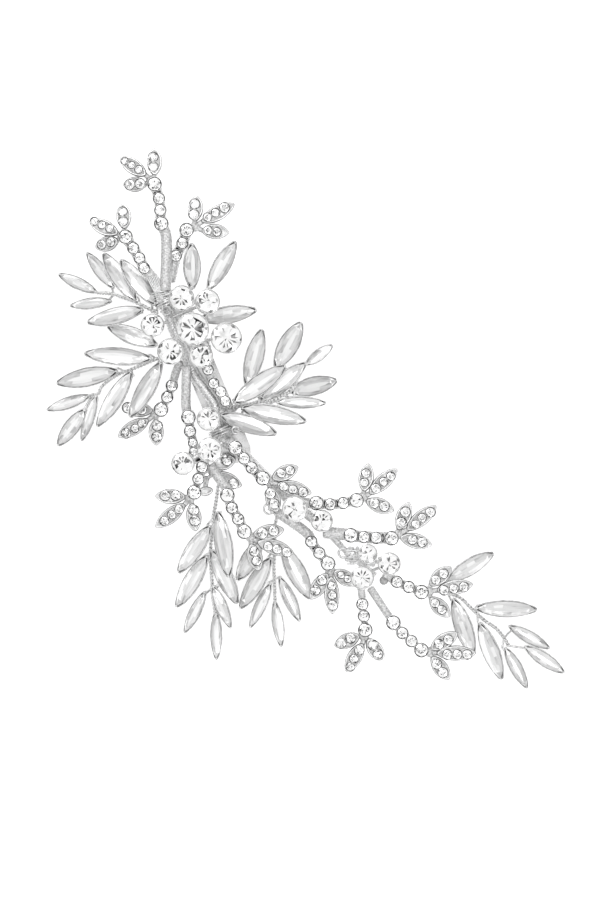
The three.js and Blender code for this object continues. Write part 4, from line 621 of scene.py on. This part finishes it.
def material(name, color, metallic, roughness, spread=None, scale=40.0, stretch=(1, 1, 1), coords="Object", bump=None, rough_spread=None, coat=0.0, detail=3.0, darks=None, ior=None):
    """Principled material; spread = (dark, light) colours mixed by noise, bump = (scale, strength, distance)."""
    mat = bpy.data.materials.new(name)
    mat.use_nodes = True
    nt = mat.node_tree
    p = nt.nodes["Principled BSDF"]
    p.inputs["Base Color"].default_value = (*color, 1)
    p.inputs["Metallic"].default_value = metallic
    p.inputs["Roughness"].default_value = roughness
    if coat:
        p.inputs["Coat Weight"].default_value = coat
        p.inputs["Coat Roughness"].default_value = 0.03
    if ior:
        p.inputs["IOR"].default_value = ior
    tc = nt.nodes.new("ShaderNodeTexCoord")
    mp = nt.nodes.new("ShaderNodeMapping")
    mp.inputs["Scale"].default_value = stretch
    nt.links.new(tc.outputs[coords], mp.inputs["Vector"])
    if spread:
        no = nt.nodes.new("ShaderNodeTexNoise")
        no.inputs["Scale"].default_value = scale
        no.inputs["Detail"].default_value = detail
        no.inputs["Roughness"].default_value = 0.55
        ramp = nt.nodes.new("ShaderNodeValToRGB")
        e = ramp.color_ramp.elements
        stops = spread if isinstance(spread[0], tuple) and len(spread[0]) == 2 else [(0.35, spread[0]), (0.65, spread[1])]
        e[0].position, e[0].color = stops[0][0], (*stops[0][1], 1)
        e[1].position, e[1].color = stops[-1][0], (*stops[-1][1], 1)
        for pos, c in stops[1:-1]:
            x = e.new(pos)
            x.color = (*c, 1)
        nt.links.new(mp.outputs["Vector"], no.inputs["Vector"])
        nt.links.new(no.outputs["Fac"], ramp.inputs["Fac"])
        nt.links.new(ramp.outputs["Color"], p.inputs["Base Color"])
        if rough_spread:
            mr = nt.nodes.new("ShaderNodeMapRange")
            mr.inputs["From Min"].default_value = 0.3
            mr.inputs["From Max"].default_value = 0.7
            mr.inputs["To Min"].default_value = rough_spread[0]
            mr.inputs["To Max"].default_value = rough_spread[1]
            nt.links.new(no.outputs["Fac"], mr.inputs["Value"])
            nt.links.new(mr.outputs["Result"], p.inputs["Roughness"])
    if bump:
        nb = nt.nodes.new("ShaderNodeTexNoise")
        nb.inputs["Scale"].default_value = bump[0]
        nb.inputs["Detail"].default_value = 2.0
        bu = nt.nodes.new("ShaderNodeBump")
        bu.inputs["Strength"].default_value = bump[1]
        bu.inputs["Distance"].default_value = bump[2]
        nt.links.new(mp.outputs["Vector"], nb.inputs["Vector"])
        nt.links.new(nb.outputs["Fac"], bu.inputs["Height"])
        nt.links.new(bu.outputs["Normal"], p.inputs["Normal"])
    return mat


def grey(v, tint=0.0):
    return (v, v, min(1.0, v * (1 + tint)))


SILVER = material("silver_cast", grey(0.66), 1.0, 0.34, spread=(grey(0.46), grey(0.86)), scale=2300, bump=(3000, 0.9, 0.0002), rough_spread=(0.26, 0.46))
RIM = material("silver_polished_edge", grey(0.84), 1.0, 0.22, spread=(grey(0.74), grey(0.94)), scale=1500, rough_spread=(0.16, 0.3))
WIRE = material("silver_wire_bright", grey(0.72), 1.0, 0.2, spread=(grey(0.60), grey(0.86)), scale=700, rough_spread=(0.14, 0.28))
WRAP = material("silver_wire_wrapped", grey(0.60), 1.0, 0.32, spread=(grey(0.50), grey(0.92)), scale=2300, bump=(2000, 0.8, 0.0002), rough_spread=(0.24, 0.42))
# near-black metal for the gaps round stones, the floors under them and the bars between them: painted shade
RECESS_PAINTED_SHADE = material("silver_recess_painted_shade", grey(0.10), 1.0, 0.5, spread=[(0.44, grey(0.01)), (0.55, grey(0.05)), (0.62, grey(0.45))], scale=900)
# darker copy of the silver for inner lips and sloping outer walls: painted shade
EDGE_PAINTED_SHADE = material("silver_edge_painted_shade", grey(0.40), 1.0, 0.34, spread=(grey(0.30), grey(0.52)), scale=1200)
# darker grey silver on the outer walls of the leaf cups: painted shade
LEAF_EDGE_PAINTED_SHADE = material("silver_leaf_edge_painted_shade", grey(0.52), 1.0, 0.3, spread=(grey(0.44), grey(0.80)), scale=700)
TWINE = material("silver_wire_twisted", grey(0.70), 1.0, 0.28, spread=(grey(0.56), grey(0.88)), scale=1400, rough_spread=(0.2, 0.36))
# darker grey silver: painted shade on the inner side of the leaf cup rims; also the colour of one flat bead by the tail
GREY_AND_GROOVE_SHADE = material("silver_grey_and_groove_painted_shade", grey(0.40), 1.0, 0.45, spread=(grey(0.32), grey(0.52)), scale=900)
BED = material("silver_pave_bed", grey(0.84), 1.0, 0.36, spread=(grey(0.74), grey(0.96)), scale=1800, bump=(2600, 0.6, 0.00012))
BACK = material("cup_back", grey(0.72), 1.0, 0.35, spread=(grey(0.62), grey(0.80)), scale=600)
GEM = material("crystal_bright", grey(0.98), 1.0, 0.04, spread=[(0.30, grey(0.76)), (0.44, grey(0.94)), (0.58, grey(1.0)), (1.0, grey(1.0))], scale=3.0, coords="UV")
# grey and near-black copies of the crystal mirror: painted reflections on single facets
GEM_PAINTED_GREY_REFLECTION = material("crystal_painted_grey_reflection", grey(0.34), 1.0, 0.06, spread=[(0.35, grey(0.18)), (0.65, grey(0.52))], scale=3.0, coords="UV")
GEM_PAINTED_DARK_REFLECTION = material("crystal_painted_dark_reflection", grey(0.06), 1.0, 0.08, spread=[(0.35, grey(0.02)), (0.65, grey(0.15))], scale=3.0, coords="UV")
# leaf crystals: streaks from grey to white with rare near-black marks are painted reflections and glints; the table
# copy below is lighter, painted light
LEAF_PAINTED_REFLECTIONS = material("crystal_leaf_painted_reflections", grey(0.86), 0.6, 0.07, spread=[(0.22, grey(0.20)), (0.30, grey(0.48)), (0.42, grey(0.74)), (0.56, grey(0.84)), (0.70, grey(0.90)), (1.0, grey(0.90))], scale=1.0, stretch=(1.6, 11.0, 1), coords="UV", detail=2.0, bump=(1.3, 0.22, 0.0003))
LEAF_TABLE_PAINTED_LIGHT = material("crystal_leaf_table_painted_light", grey(0.95), 0.55, 0.07, spread=[(0.22, grey(0.62)), (0.32, grey(0.86)), (0.44, grey(0.98)), (0.56, grey(1.0)), (1.0, grey(1.0))], scale=1.0, stretch=(1.2, 8.0, 1), coords="UV", detail=2.0, bump=(1.1, 0.18, 0.0003))
STEEL = material("clip_steel_plated", grey(0.72), 1.0, 0.26, spread=(grey(0.64), grey(0.80)), scale=260, stretch=(1, 1, 6), bump=(900, 0.12, 0.00008), rough_spread=(0.2, 0.34))
SPRING = material("spring_steel_wire", grey(0.60), 1.0, 0.24, spread=(grey(0.52), grey(0.70)), scale=500, rough_spread=(0.18, 0.3))
METAL = [SILVER, RECESS_PAINTED_SHADE, BED, RIM, GREY_AND_GROOVE_SHADE, EDGE_PAINTED_SHADE]
WIRES = [WIRE, RECESS_PAINTED_SHADE, BACK, LEAF_EDGE_PAINTED_SHADE, TWINE, GREY_AND_GROOVE_SHADE]
STONES = [GEM, GEM_PAINTED_GREY_REFLECTION, GEM_PAINTED_DARK_REFLECTION]

# ------------------------------------------------------------------- twigs


def grain(seed, amount):
    rnd = random.Random(seed)
    ph = [rnd.random() * 6.28 for _ in range(8)]

    def f(s, share, a):
        return 1 + amount * (math.sin(s * 7.1 + ph[0] + 2 * math.sin(a * 3 + ph[1])) + 0.7 * math.sin(s * 12.7 + a * 4 + ph[2]) + 0.5 * math.sin(s * 4.3 - a * 5 + ph[3])) / 2.2

    return f


def small_stone(metal, glass, place, R, top, seed, claws=4, swing=0.0):
    """One round stone of radius R with its cup, its table standing at height top."""
    crown = R * 0.10
    girdle = upright(place @ Vector((0, 0, top - crown)), place)
    gem(glass, girdle, R - 0.06, crown, 0.4, 8, seed, share=0.46, table=0.66, swing=swing, outer=0.45)
    seat(metal, girdle, R - 0.06, 0.07, 0.75, wall=0.12, gap=0.19, n=24, mat=3)
    prongs(metal, girdle, R + 0.10, 0.05, claws, 0.13 if R < 1.5 else 0.16, turn=0.78 + swing)


def room(points, radii, most):
    """The largest radius for each stone that leaves its neighbours room."""
    out = list(radii)
    for i, p in enumerate(points):
        for j in (i - 1, i + 1):
            if 0 <= j < len(points):
                gap = (Vector(points[j]) - Vector(p)).length
                share = radii[i] / (radii[i] + radii[j])
                out[i] = min(out[i], gap * share - 0.09)
    return [min(most, r) for r in out]


for name, t in TWIGS.items():
    metal, glass = Part(), Part()
    half = t["width"] / 2
    path = list(t["path"])
    n_rod = t["rod"]
    if name in ("right_first", "tail_short", "lower_right"):
        # the foot of the rod runs on under the round stones
        a, b = Vector(path[0]), Vector(path[1])
        path[0] = tuple(a + (a - b).normalized() * 1.5)
    f = grain(name, 0.05)
    # the cast rod: ribbed where it is bare, a channel with beaded edges under the stones
    tube(metal, path, half * 0.92, sides=14, step=0.3, flat=ROD_FLAT, up=True, shape=lambda s, share, a: f(s, share, a) * (1 + 0.028 * math.sin(s * 9.5)))
    big = t["big"]
    stones = path[n_rod:-1]
    joint = path[-1]
    seats = list(zip(stones, [3.5 if b else 2.5 for b in big])) + [(joint, JOINT_D)]
    size = room([p for p, _ in seats], [1.64 if d > 3 else 1.36 for _, d in seats], 1.66)
    for i, (p, d) in enumerate(seats):
        last = i == len(seats) - 1
        a = Vector(path[n_rod + i - 1])
        b = Vector(path[min(len(path) - 1, n_rod + i + 1)])
        swing = math.atan2(b.y - a.y, b.x - a.x)
        top = half * ROD_FLAT * (0.5 if last else 0.7) + (1.2 if last else 1.1 if d > 3 else 0.85)
        small_stone(metal, glass, upright(p), size[i], top, f"{name}{i}", swing=swing)
    # beads along both edges of the channel, and a near-black bar of painted shade across it between stones
    for i in range(len(seats) - 1):
        (p, d1), (q, d2) = seats[i], seats[i + 1]
        p, q = Vector(p), Vector(q)
        run = (q - p)
        side = run.cross(Vector((0, 0, 1))).normalized()
        mid = p.lerp(q, 0.5 + (d1 - d2) * 0.08)
        for s in (1, -1):
            bead(metal, mid + side * (s * half * 0.70) + Vector((0, 0, half * ROD_FLAT * 0.8)), 0.25, 0.9, mat=3, n=8, m=5)
        tube(metal, [mid - side * (half * 0.5) + Vector((0, 0, half * ROD_FLAT)), mid + side * (half * 0.5) + Vector((0, 0, half * ROD_FLAT))], 0.28, sides=8, step=0.3, mat=1)
    # calyx where the three leaves meet
    bases = [Vector(l[0]) for l in t["leaves"]]
    hub = sum(bases, Vector()) / len(bases) * 0.7 + Vector(joint) * 0.3
    tube(metal, [joint, hub], 0.85, sides=10, step=0.3, flat=0.8, up=True)
    bead(metal, hub, 1.35, 0.52, n=14, m=7)
    rnd = random.Random(name + "hub")
    for k in range(5):
        a = k * 1.256 + rnd.random() * 0.5
        bead(metal, hub + Vector((0.55 * math.cos(a), 0.55 * math.sin(a), 0.55)), 0.24, 0.8, n=6, m=4)
    for i, (base, tip, dots) in enumerate(t["leaves"]):
        M, L = leaf_frame(base, tip)
        W, T = 3.9, 1.1
        tube(metal, [hub, M @ Vector((0.5, 0, 0)), M @ Vector((1.6, 0, 0))], 0.66, sides=10, step=0.4, flat=0.75, up=True)
        qs = [0.5 - 0.5 * math.cos(math.pi * (k + 0.4) / 15.8) for k in range(16)]

        def ring(inset, z):
            up, down = [], []
            for q in qs:
                x, y = outline(q, L, W, inset, 0.62)
                up.append(M @ Vector((x, y, z)))
                down.append(M @ Vector((x, -y, z)))
            return down + up[::-1]

        top = 0.78
        rings = [ring(0.35, -0.55), ring(0.08, -0.42), ring(0.0, -0.1), ring(0.0, top - 0.40), ring(0.15, top - 0.16), ring(0.20, top - 0.03), ring(0.26, top), ring(0.42, top - 0.01), ring(0.48, top - 0.05), ring(0.52, top - 0.12)]
        # outer walls and inner lip in darker edge metal are painted shade; the rim top is polished metal, the floor
        # pavé bed
        loft(metal, rings, [0, 0, 5, 5, 5, 3, 3, 3, 5], True, cap_mat=2)
        pos = [M.inverted() @ Vector(d) for d in dots]
        pos.sort(key=lambda p: p.x)
        pos = [Vector((p.x, max(-0.3, min(0.3, p.y)), 0.0)) for p in pos]
        size = room(pos, [1.26] * len(pos), 1.26)
        for k, p in enumerate(pos):
            small_stone(metal, glass, upright(M @ p, M), size[k], 1.07, f"{name}{i}{k}", claws=0, swing=0.4 * k)
        # grains that hold the stones, in the spaces between them
        xs = [pos[0].x - 1.25] + [(pos[k].x + pos[k + 1].x) / 2 for k in range(len(pos) - 1)] + [pos[-1].x + 1.25] if pos else []
        for x in xs:
            q = x / L
            if not 0.06 < q < 0.95:
                continue
            w = outline(q, L, W, 0.5, 0.62)[1]
            edge = x in (xs[0], xs[-1])
            for s in (1, -1):
                y = s * (min(w, 0.34) if edge else w * 0.82)
                bead(metal, M @ Vector((x, y, top + 0.02)), 0.17, 0.9, mat=3, n=7, m=4)
    metal.make(f"cast_{name}", METAL, "silver_casting", replaces=[f"twig_{name}"])
    glass.make(f"stones_{name}", STONES, "round_crystal")

# ------------------------------------------------------- main stem and row
metal, glass = Part(), Part()
f = grain("stem", 0.035)
tube(metal, MAIN_STEM, 1.42, sides=18, step=0.14, shape=lambda s, share, a: (0.93 + 0.085 * abs(math.sin(math.pi * s / 0.62 + a * 0.5))) * f(s, share, a) * (1 - 0.42 * min(1.0, max(0.0, share - 0.78) / 0.1)))
metal.make("stem_wrapped", [WRAP, RECESS_PAINTED_SHADE, BED, RIM, GREY_AND_GROOVE_SHADE, EDGE_PAINTED_SHADE], "silver_wire", replaces=["main_stem"])
metal = Part()
f = grain("row", 0.05)
tube(metal, [(x, y, z + (1.2 if i < 5 else 0.3)) for i, (x, y, z) in enumerate(ROW)], 1.22, sides=14, step=0.3, flat=0.7, up=True, shape=f)
for i in range(1, 5):
    x, y, z = ROW[i]
    a, b = Vector(ROW[i - 1]), Vector(ROW[i + 1])
    small_stone(metal, glass, upright((x, y, z + 1.2)), 1.28, 0.55 + 0.9, f"row{i}", swing=math.atan2(b.y - a.y, b.x - a.x))
metal.make("row_channel", METAL, "silver_casting")
glass.make("row_stones", STONES, "round_crystal")

# knot of wrapped wire under the tail, with its round stone, and the wire eyes
metal, glass = Part(), Part()
rnd = random.Random("knot")
tube(metal, [(10.2, -33.5, 15.3), (13.0, -34.2, 15.6), (17.4, -34.9, 15.6)], 1.95, sides=16, step=0.25, flat=0.5, mat=2, shape=grain("knot", 0.10))
for k in range(5):
    y = -32.6 - k * 0.75
    pts = [(10.0 + 1.75 * j + rnd.uniform(-0.3, 0.3), y + rnd.uniform(-0.45, 0.45) - 0.1 * j, 16.6 + rnd.uniform(-0.3, 0.35)) for j in range(5)]
    tube(metal, pts, 0.24, sides=7, step=0.25, mat=2)
for k in range(120):
    a, q = rnd.uniform(0, 6.283), math.sqrt(rnd.random())
    x, y = 13.9 + 4.6 * q * math.cos(a), -34.1 - 0.14 * 4.6 * q * math.cos(a) + 2.3 * q * math.sin(a)
    bead(metal, (x, y, 15.6 + 1.1 * math.sqrt(max(0.0, 1 - q * q)) + rnd.uniform(-0.1, 0.3)), rnd.uniform(0.26, 0.42), 0.85, mat=2 if k % 3 else 0, n=7, m=4)
kr = 2.5
place = upright((15.37, -33.46, 19.3 - kr * 0.3))
rings = [(kr * 0.30, -kr * 0.85), (kr * 0.5, -kr * 0.8), (kr * 0.97, -kr * 0.28), (kr, -kr * 0.2), (kr, 0.02), (kr - 0.06, 0.10), (kr - 0.2, 0.10), (kr - 0.25, 0.0), (kr - 0.25, -0.2)]
# the inner wall and floor of this cup are near-black: painted shade
loft(metal, [[place @ Vector((q * math.cos(2 * math.pi * k / 32), q * math.sin(2 * math.pi * k / 32), h)) for k in range(32)] for q, h in rings], [3, 3, 3, 3, 3, 3, 3, 1], True, cap_mat=1)
gem(glass, place, kr - 0.28, kr * 0.10, 0.16, 10, "knot", share=0.20, table=0.68, outer=0.2)
tube(metal, [(15.37, -33.46, 17.0), (14.9, -34.1, 15.8)], 0.7, sides=8, step=0.4)


def eye(cx, cy, cz, r, wire, start, sweep, tail):
    pts = [(cx + r * math.cos(start + sweep * k / 12), cy + r * math.sin(start + sweep * k / 12), cz + 0.15 * k / 12) for k in range(13)]
    tube(metal, [tail[0]] + pts + [tail[1]], wire, sides=9, step=0.22)


eye(9.3, -33.3, 16.6, 1.15, 0.32, 0.9, 4.3, ((11.6, -32.3, 16.3), (11.4, -34.6, 16.4)))
eye(-34.8, 27.1, 18.9, 1.05, 0.30, 2.6, 5.2, ((-35.9, 29.4, 17.8), (-36.2, 26.8, 17.6)))
eye(-9.3, -22.3, 15.4, 1.25, 0.30, 1.6, 4.4, ((-7.9, -20.4, 15.6), (-7.3, -22.0, 15.4)))
eye(-17.6, -2.7, 18.0, 0.85, 0.26, 0.4, 5.2, ((-18.6, -3.9, 17.2), (-18.9, -2.2, 17.1)))
bead(metal, (19.45, -40.2, 15.3), 1.15, 0.6, mat=4, n=14, m=7)
# fine strands bound round the foot of the three upper twigs
for k in range(7):
    o = (k - 3) * 0.42
    pts = [(-38.9 + o * 0.9 + 0.4, 35.9 + o * 0.35, 16.2 - abs(o) * 0.2), (-37.2 + o * 0.75, 33.0 + o * 0.4, 17.3 - abs(o) * 0.3), (-35.9 + o * 0.6, 30.3 + o * 0.3, 17.9 - abs(o) * 0.35), (-35.2 + o * 0.4, 28.3 + o * 0.2, 18.0 - abs(o) * 0.3)]
    tube(metal, pts, 0.17, sides=7, step=0.35, mat=3 if k % 2 else 2)
for k in range(6):
    c = Vector((-36.3 + k * 0.14, 31.9 - k * 0.55, 16.2))
    pts = [c + Vector((2.1 * math.cos(a) + 0.5 * math.sin(a), 0.9 * math.cos(a) * 0.45, 1.75 * math.sin(a))) for a in [2 * math.pi * j / 14 for j in range(14)]]
    tube(metal, pts, 0.19, sides=6, step=0.35, closed=True, mat=2)
metal.make("wrapped_details", [WRAP, RECESS_PAINTED_SHADE, BED, RIM, GREY_AND_GROOVE_SHADE, EDGE_PAINTED_SHADE], "silver_wire")
glass.make("gem_knot", STONES, "round_crystal")

# ------------------------------------------------------ large round stones
for name, (d, top, foot) in BRILLIANTS.items():
    metal, glass = Part(), Part()
    r = d / 2
    x, y, z = top
    crown, cup = r * 0.09, r * 0.85
    place = upright((x, y, z - crown - 0.1))
    wall = 0.22
    rings = [(r * 0.30, -cup), (r * 0.42, -cup + 0.08), (r * 0.96, -r * 0.32), (r, -r * 0.22), (r, 0.02), (r - 0.06, 0.10), (r - wall + 0.05, 0.10), (r - wall, 0.03), (r - wall, -0.18)]
    pts = [[place @ Vector((q * math.cos(2 * math.pi * k / 40), q * math.sin(2 * math.pi * k / 40), h)) for k in range(40)] for q, h in rings]
    # the inner wall and floor of the cup are near-black: painted shade
    loft(metal, pts, [0, 0, 0, 0, 0, 0, 0, 1], True, cap_mat=1)
    gem(glass, place, r - wall - 0.03, crown, 0.16, 13 if d > 7 else 11, name, share=0.46, table=0.76, outer=0.16)
    low = Vector((x, y, z - crown - cup + 0.3))
    f3 = Vector(foot)
    mid = Vector((x + (f3.x - x) * 0.25, y + (f3.y - y) * 0.25, low.z - (low.z - f3.z) * 0.55))
    end = f3 + (f3 - mid).normalized() * 0.35  # soldered into the wrapped stem
    tube(metal, [low, (x, y, low.z - 0.7), mid, end], 0.42, sides=10, step=0.12, shape=lambda s, share, a: 0.88 + 0.14 * abs(math.sin(math.pi * s / 0.5 + a * 0.5)))
    metal.make(f"cup_{name}", WIRES, "silver_wire", replaces=[f"brilliant_{name}"])
    glass.make(f"gem_{name}", STONES, "round_crystal")

# ------------------------------------------------------------- leaf sprays
for name, s in SPRAYS.items():
    metal, glass = Part(), Part()
    twist(metal, s["stem"], 0.27, 0.30, 1.9, strands=2, turn=0.4, mat=4)
    count = 0
    for e in s["ends"] + ([LONE_LEAF] if name == "lower_inner" else []):
        base, tip, width, roll, small = e
        b, t_ = Vector(base), Vector(tip)
        near = Vector(s["stem"][3]) if e is LONE_LEAF else Vector(s["stem"][-1])
        tube(metal, [near, b + (t_ - b).normalized() * 1.2], 0.33, sides=8, step=0.4, mat=4)
        navette(metal, glass, base, tip, width, roll, small, f"{name}{count}")
        count += 1
    for a, b, under in s["pairs"]:
        route = []
        for (base, tip, width, roll, small), sgn in ((a, 1), (b, -1)):
            p, q = Vector(base), Vector(tip)
            route.append(p + (q - p).normalized() * 1.4)
            navette(metal, glass, base, tip, width, roll, small, f"{name}{count}")
            count += 1
        tube(metal, [route[0]] + [tuple(p) for p in under] + [route[1]], 0.33, sides=8, step=0.35, mat=4)
    nodes = [f"spray_{name}_stem"] + [f"spray_{name}_leaves_{i + 1}" for i in range(len(s["pairs"]))]
    metal.make(f"settings_{name}", WIRES, "silver_wire", replaces=nodes)
    glass.make(f"leaves_{name}", [LEAF_PAINTED_REFLECTIONS, LEAF_TABLE_PAINTED_LIGHT], "leaf_crystal")

metal, glass = Part(), Part()
hub = Vector(FAN_HUB)
bead(metal, hub, 0.9, 0.8, n=12, m=7)
for i, (base, tip, width, roll, small) in enumerate(FAN):
    if i == 2:
        base = (-26.6, 24.94, 16.9)  # its root lies hidden under the round stones
    p, q = Vector(base), Vector(tip)
    tube(metal, [hub, p + (q - p).normalized() * 1.4], 0.36, sides=8, step=0.4)
    navette(metal, glass, base, tip, width, roll, small, f"fan{i}")
metal.make("settings_fan", WIRES, "silver_wire", replaces=["fan_leaves"])
glass.make("leaves_fan", [LEAF_PAINTED_REFLECTIONS, LEAF_TABLE_PAINTED_LIGHT], "leaf_crystal")

# -------------------------------------------------------------------- clip
CLIP = Matrix.Translation(Vector(CLIP_AT)) @ Matrix.Rotation(math.radians(CLIP_TURN), 4, "Z")


def finished(node, name, mats, body, width=0.16):
    """A bevelled copy of a CAD node's shape."""
    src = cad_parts[node]
    bm = bmesh.new()
    bm.from_mesh(src.data)
    bmesh.ops.remove_doubles(bm, verts=bm.verts, dist=2e-6)
    bmesh.ops.dissolve_limit(bm, angle_limit=math.radians(1.0), verts=bm.verts, edges=bm.edges)
    edges = [e for e in bm.edges if len(e.link_faces) == 2 and e.calc_face_angle(0) > math.radians(24)]
    bmesh.ops.bevel(bm, geom=edges, offset=width * MM, offset_type="OFFSET", segments=2, profile=0.5, affect="EDGES", clamp_overlap=True)
    bmesh.ops.recalc_face_normals(bm, faces=bm.faces)
    me = bpy.data.meshes.new(name)
    bm.to_mesh(me)
    bm.free()
    for m in mats:
        me.materials.append(m)
    me.polygons.foreach_set("material_index", [0] * len(me.polygons))
    me.shade_smooth()
    me.set_sharp_from_angle(angle=math.radians(30))
    ob = bpy.data.objects.new(name, me)
    bpy.context.scene.collection.objects.link(ob)
    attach(ob, body)
    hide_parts(node)
    return ob


finished("clip_plate", "plate_finished", [STEEL], "ornament")
finished("clip_jaw", "jaw_finished", [STEEL], "jaw")
finished("clip_pin", "pin_finished", [STEEL], "ornament", 0.12)

spring = Part()
R = 0.8 + 0.25 + 0.35
pts = [(-9.0, -1.55, 1.6), (-4.0, -1.5, 1.55)]
for i in range(61):
    a = math.pi * 0.62 - (i / 60) * 2.55 * math.pi * 2
    pts.append((R * math.cos(a), -1.5 + 3.0 * (i / 60), R * math.sin(a)))
pts += [(-4.2, 1.5, -2.55), (-8.8, 1.55, -3.55)]
tube(spring, [CLIP @ Vector(p) for p in pts], 0.34, sides=10, step=0.25)
spring_ob = spring.make("spring_coil", [SPRING], "spring_steel", body=None)
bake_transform(spring_ob)
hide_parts("clip_spring")

for i, (x, loop) in enumerate(TIES):
    metal = Part()
    for k, dx in enumerate((-0.62, 0.0, 0.62)):
        turned = [CLIP @ Vector((x + dx + (0.16 if j % 2 else -0.12) * (1 if k != 1 else -1) * 0.5, y, z)) for j, (y, z) in enumerate(loop)]
        tube(metal, turned, 0.31, sides=8, step=0.3, closed=True)
    metal.make(f"tie_wrapped_{i + 1}", WIRES, "silver_wire", replaces=[f"clip_tie_{i + 1}"])

# ------------------------------------------------------------------- stage
bpy.ops.mesh.primitive_plane_add(size=8, location=(0, 0, -0.0002))
floor = bpy.context.object
floor.name = "floor"
fm = bpy.data.materials.new("floor_white")
fm.use_nodes = True
p = fm.node_tree.nodes["Principled BSDF"]
p.inputs["Base Color"].default_value = (0.92, 0.92, 0.92, 1)
p.inputs["Roughness"].default_value = 0.9
p.inputs["Specular IOR Level"].default_value = 0.1
p.inputs["Emission Color"].default_value = (1, 1, 1, 1)
p.inputs["Emission Strength"].default_value = 0.5
floor.data.materials.append(fm)


def card(name, size, az, el, dist, level):
    """A panel facing the object: grey card."""
    d = Vector((math.cos(math.radians(el)) * math.cos(math.radians(az)), math.cos(math.radians(el)) * math.sin(math.radians(az)), math.sin(math.radians(el))))
    me = bpy.data.meshes.new(name)
    w, h = size
    me.from_pydata([(-w / 2, -h / 2, 0), (w / 2, -h / 2, 0), (w / 2, h / 2, 0), (-w / 2, h / 2, 0)], [], [(0, 1, 2, 3)])
    ob = bpy.data.objects.new(name, me)
    ob.location = d * dist
    ob.rotation_euler = d.to_track_quat("Z", "Y").to_euler()
    m = bpy.data.materials.new(name)
    m.use_nodes = True
    q = m.node_tree.nodes["Principled BSDF"]
    q.inputs["Base Color"].default_value = (level, level, level, 1)
    q.inputs["Roughness"].default_value = 0.9
    me.materials.append(m)
    bpy.context.scene.collection.objects.link(ob)
    return ob


card("card_left", (2.4, 0.9), 165, 52, 4.0, 0.45)
card("card_right", (0.5, 2.2), 15, 62, 4.2, 0.45)
card("card_low", (3.0, 0.5), 255, 38, 4.4, 0.45)


def softbox(name, az, el, dist, size, power):
    d = Vector((math.cos(math.radians(el)) * math.cos(math.radians(az)), math.cos(math.radians(el)) * math.sin(math.radians(az)), math.sin(math.radians(el))))
    la = bpy.data.lights.new(name, "AREA")
    la.shape = "RECTANGLE"
    la.size, la.size_y = size
    la.energy = power
    ob = bpy.data.objects.new(name, la)
    ob.location = d * dist
    ob.rotation_euler = d.to_track_quat("Z", "Y").to_euler()
    bpy.context.scene.collection.objects.link(ob)
    return ob


softbox("key", 115, 58, 2.6, (1.6, 1.2), 10)
softbox("fill", -50, 50, 3.0, (1.4, 1.4), 8)

world = bpy.data.worlds.new("studio")
bpy.context.scene.world = world
world.use_nodes = True
bg = world.node_tree.nodes["Background"]
bg.inputs["Strength"].default_value = 1.0
nt = world.node_tree
tc = nt.nodes.new("ShaderNodeTexCoord")
sep = nt.nodes.new("ShaderNodeSeparateXYZ")
ramp = nt.nodes.new("ShaderNodeValToRGB")
e = ramp.color_ramp.elements
e[0].position, e[0].color = 0.0, (0.46, 0.46, 0.465, 1)
e[1].position, e[1].color = 0.92, (1.0, 1.0, 1.0, 1)
for pos, v in ((0.20, 0.54), (0.45, 0.78), (0.70, 0.96)):
    x = e.new(pos)
    x.color = (v, v, v, 1)
nt.links.new(tc.outputs["Generated"], sep.inputs["Vector"])
nt.links.new(sep.outputs["Z"], ramp.inputs["Fac"])
nt.links.new(ramp.outputs["Color"], bg.inputs["Color"])

bpy.context.scene.view_settings.view_transform = "Standard"
bpy.context.scene.view_settings.look = "None"
bpy.context.scene.view_settings.exposure = 0.0

cam = bpy.data.cameras.new("camera")
cam.lens = 160
cam.sensor_width = 36
cam.clip_start = 0.05
cam.clip_end = 20
cam_ob = bpy.data.objects.new("camera", cam)
cam_ob.location = (-0.001505, -0.007605, 1.015)
cam_ob.rotation_euler = (0, 0, 0)
bpy.context.scene.collection.objects.link(cam_ob)
bpy.context.scene.camera = cam_ob

bpy.context.view_layer.update()
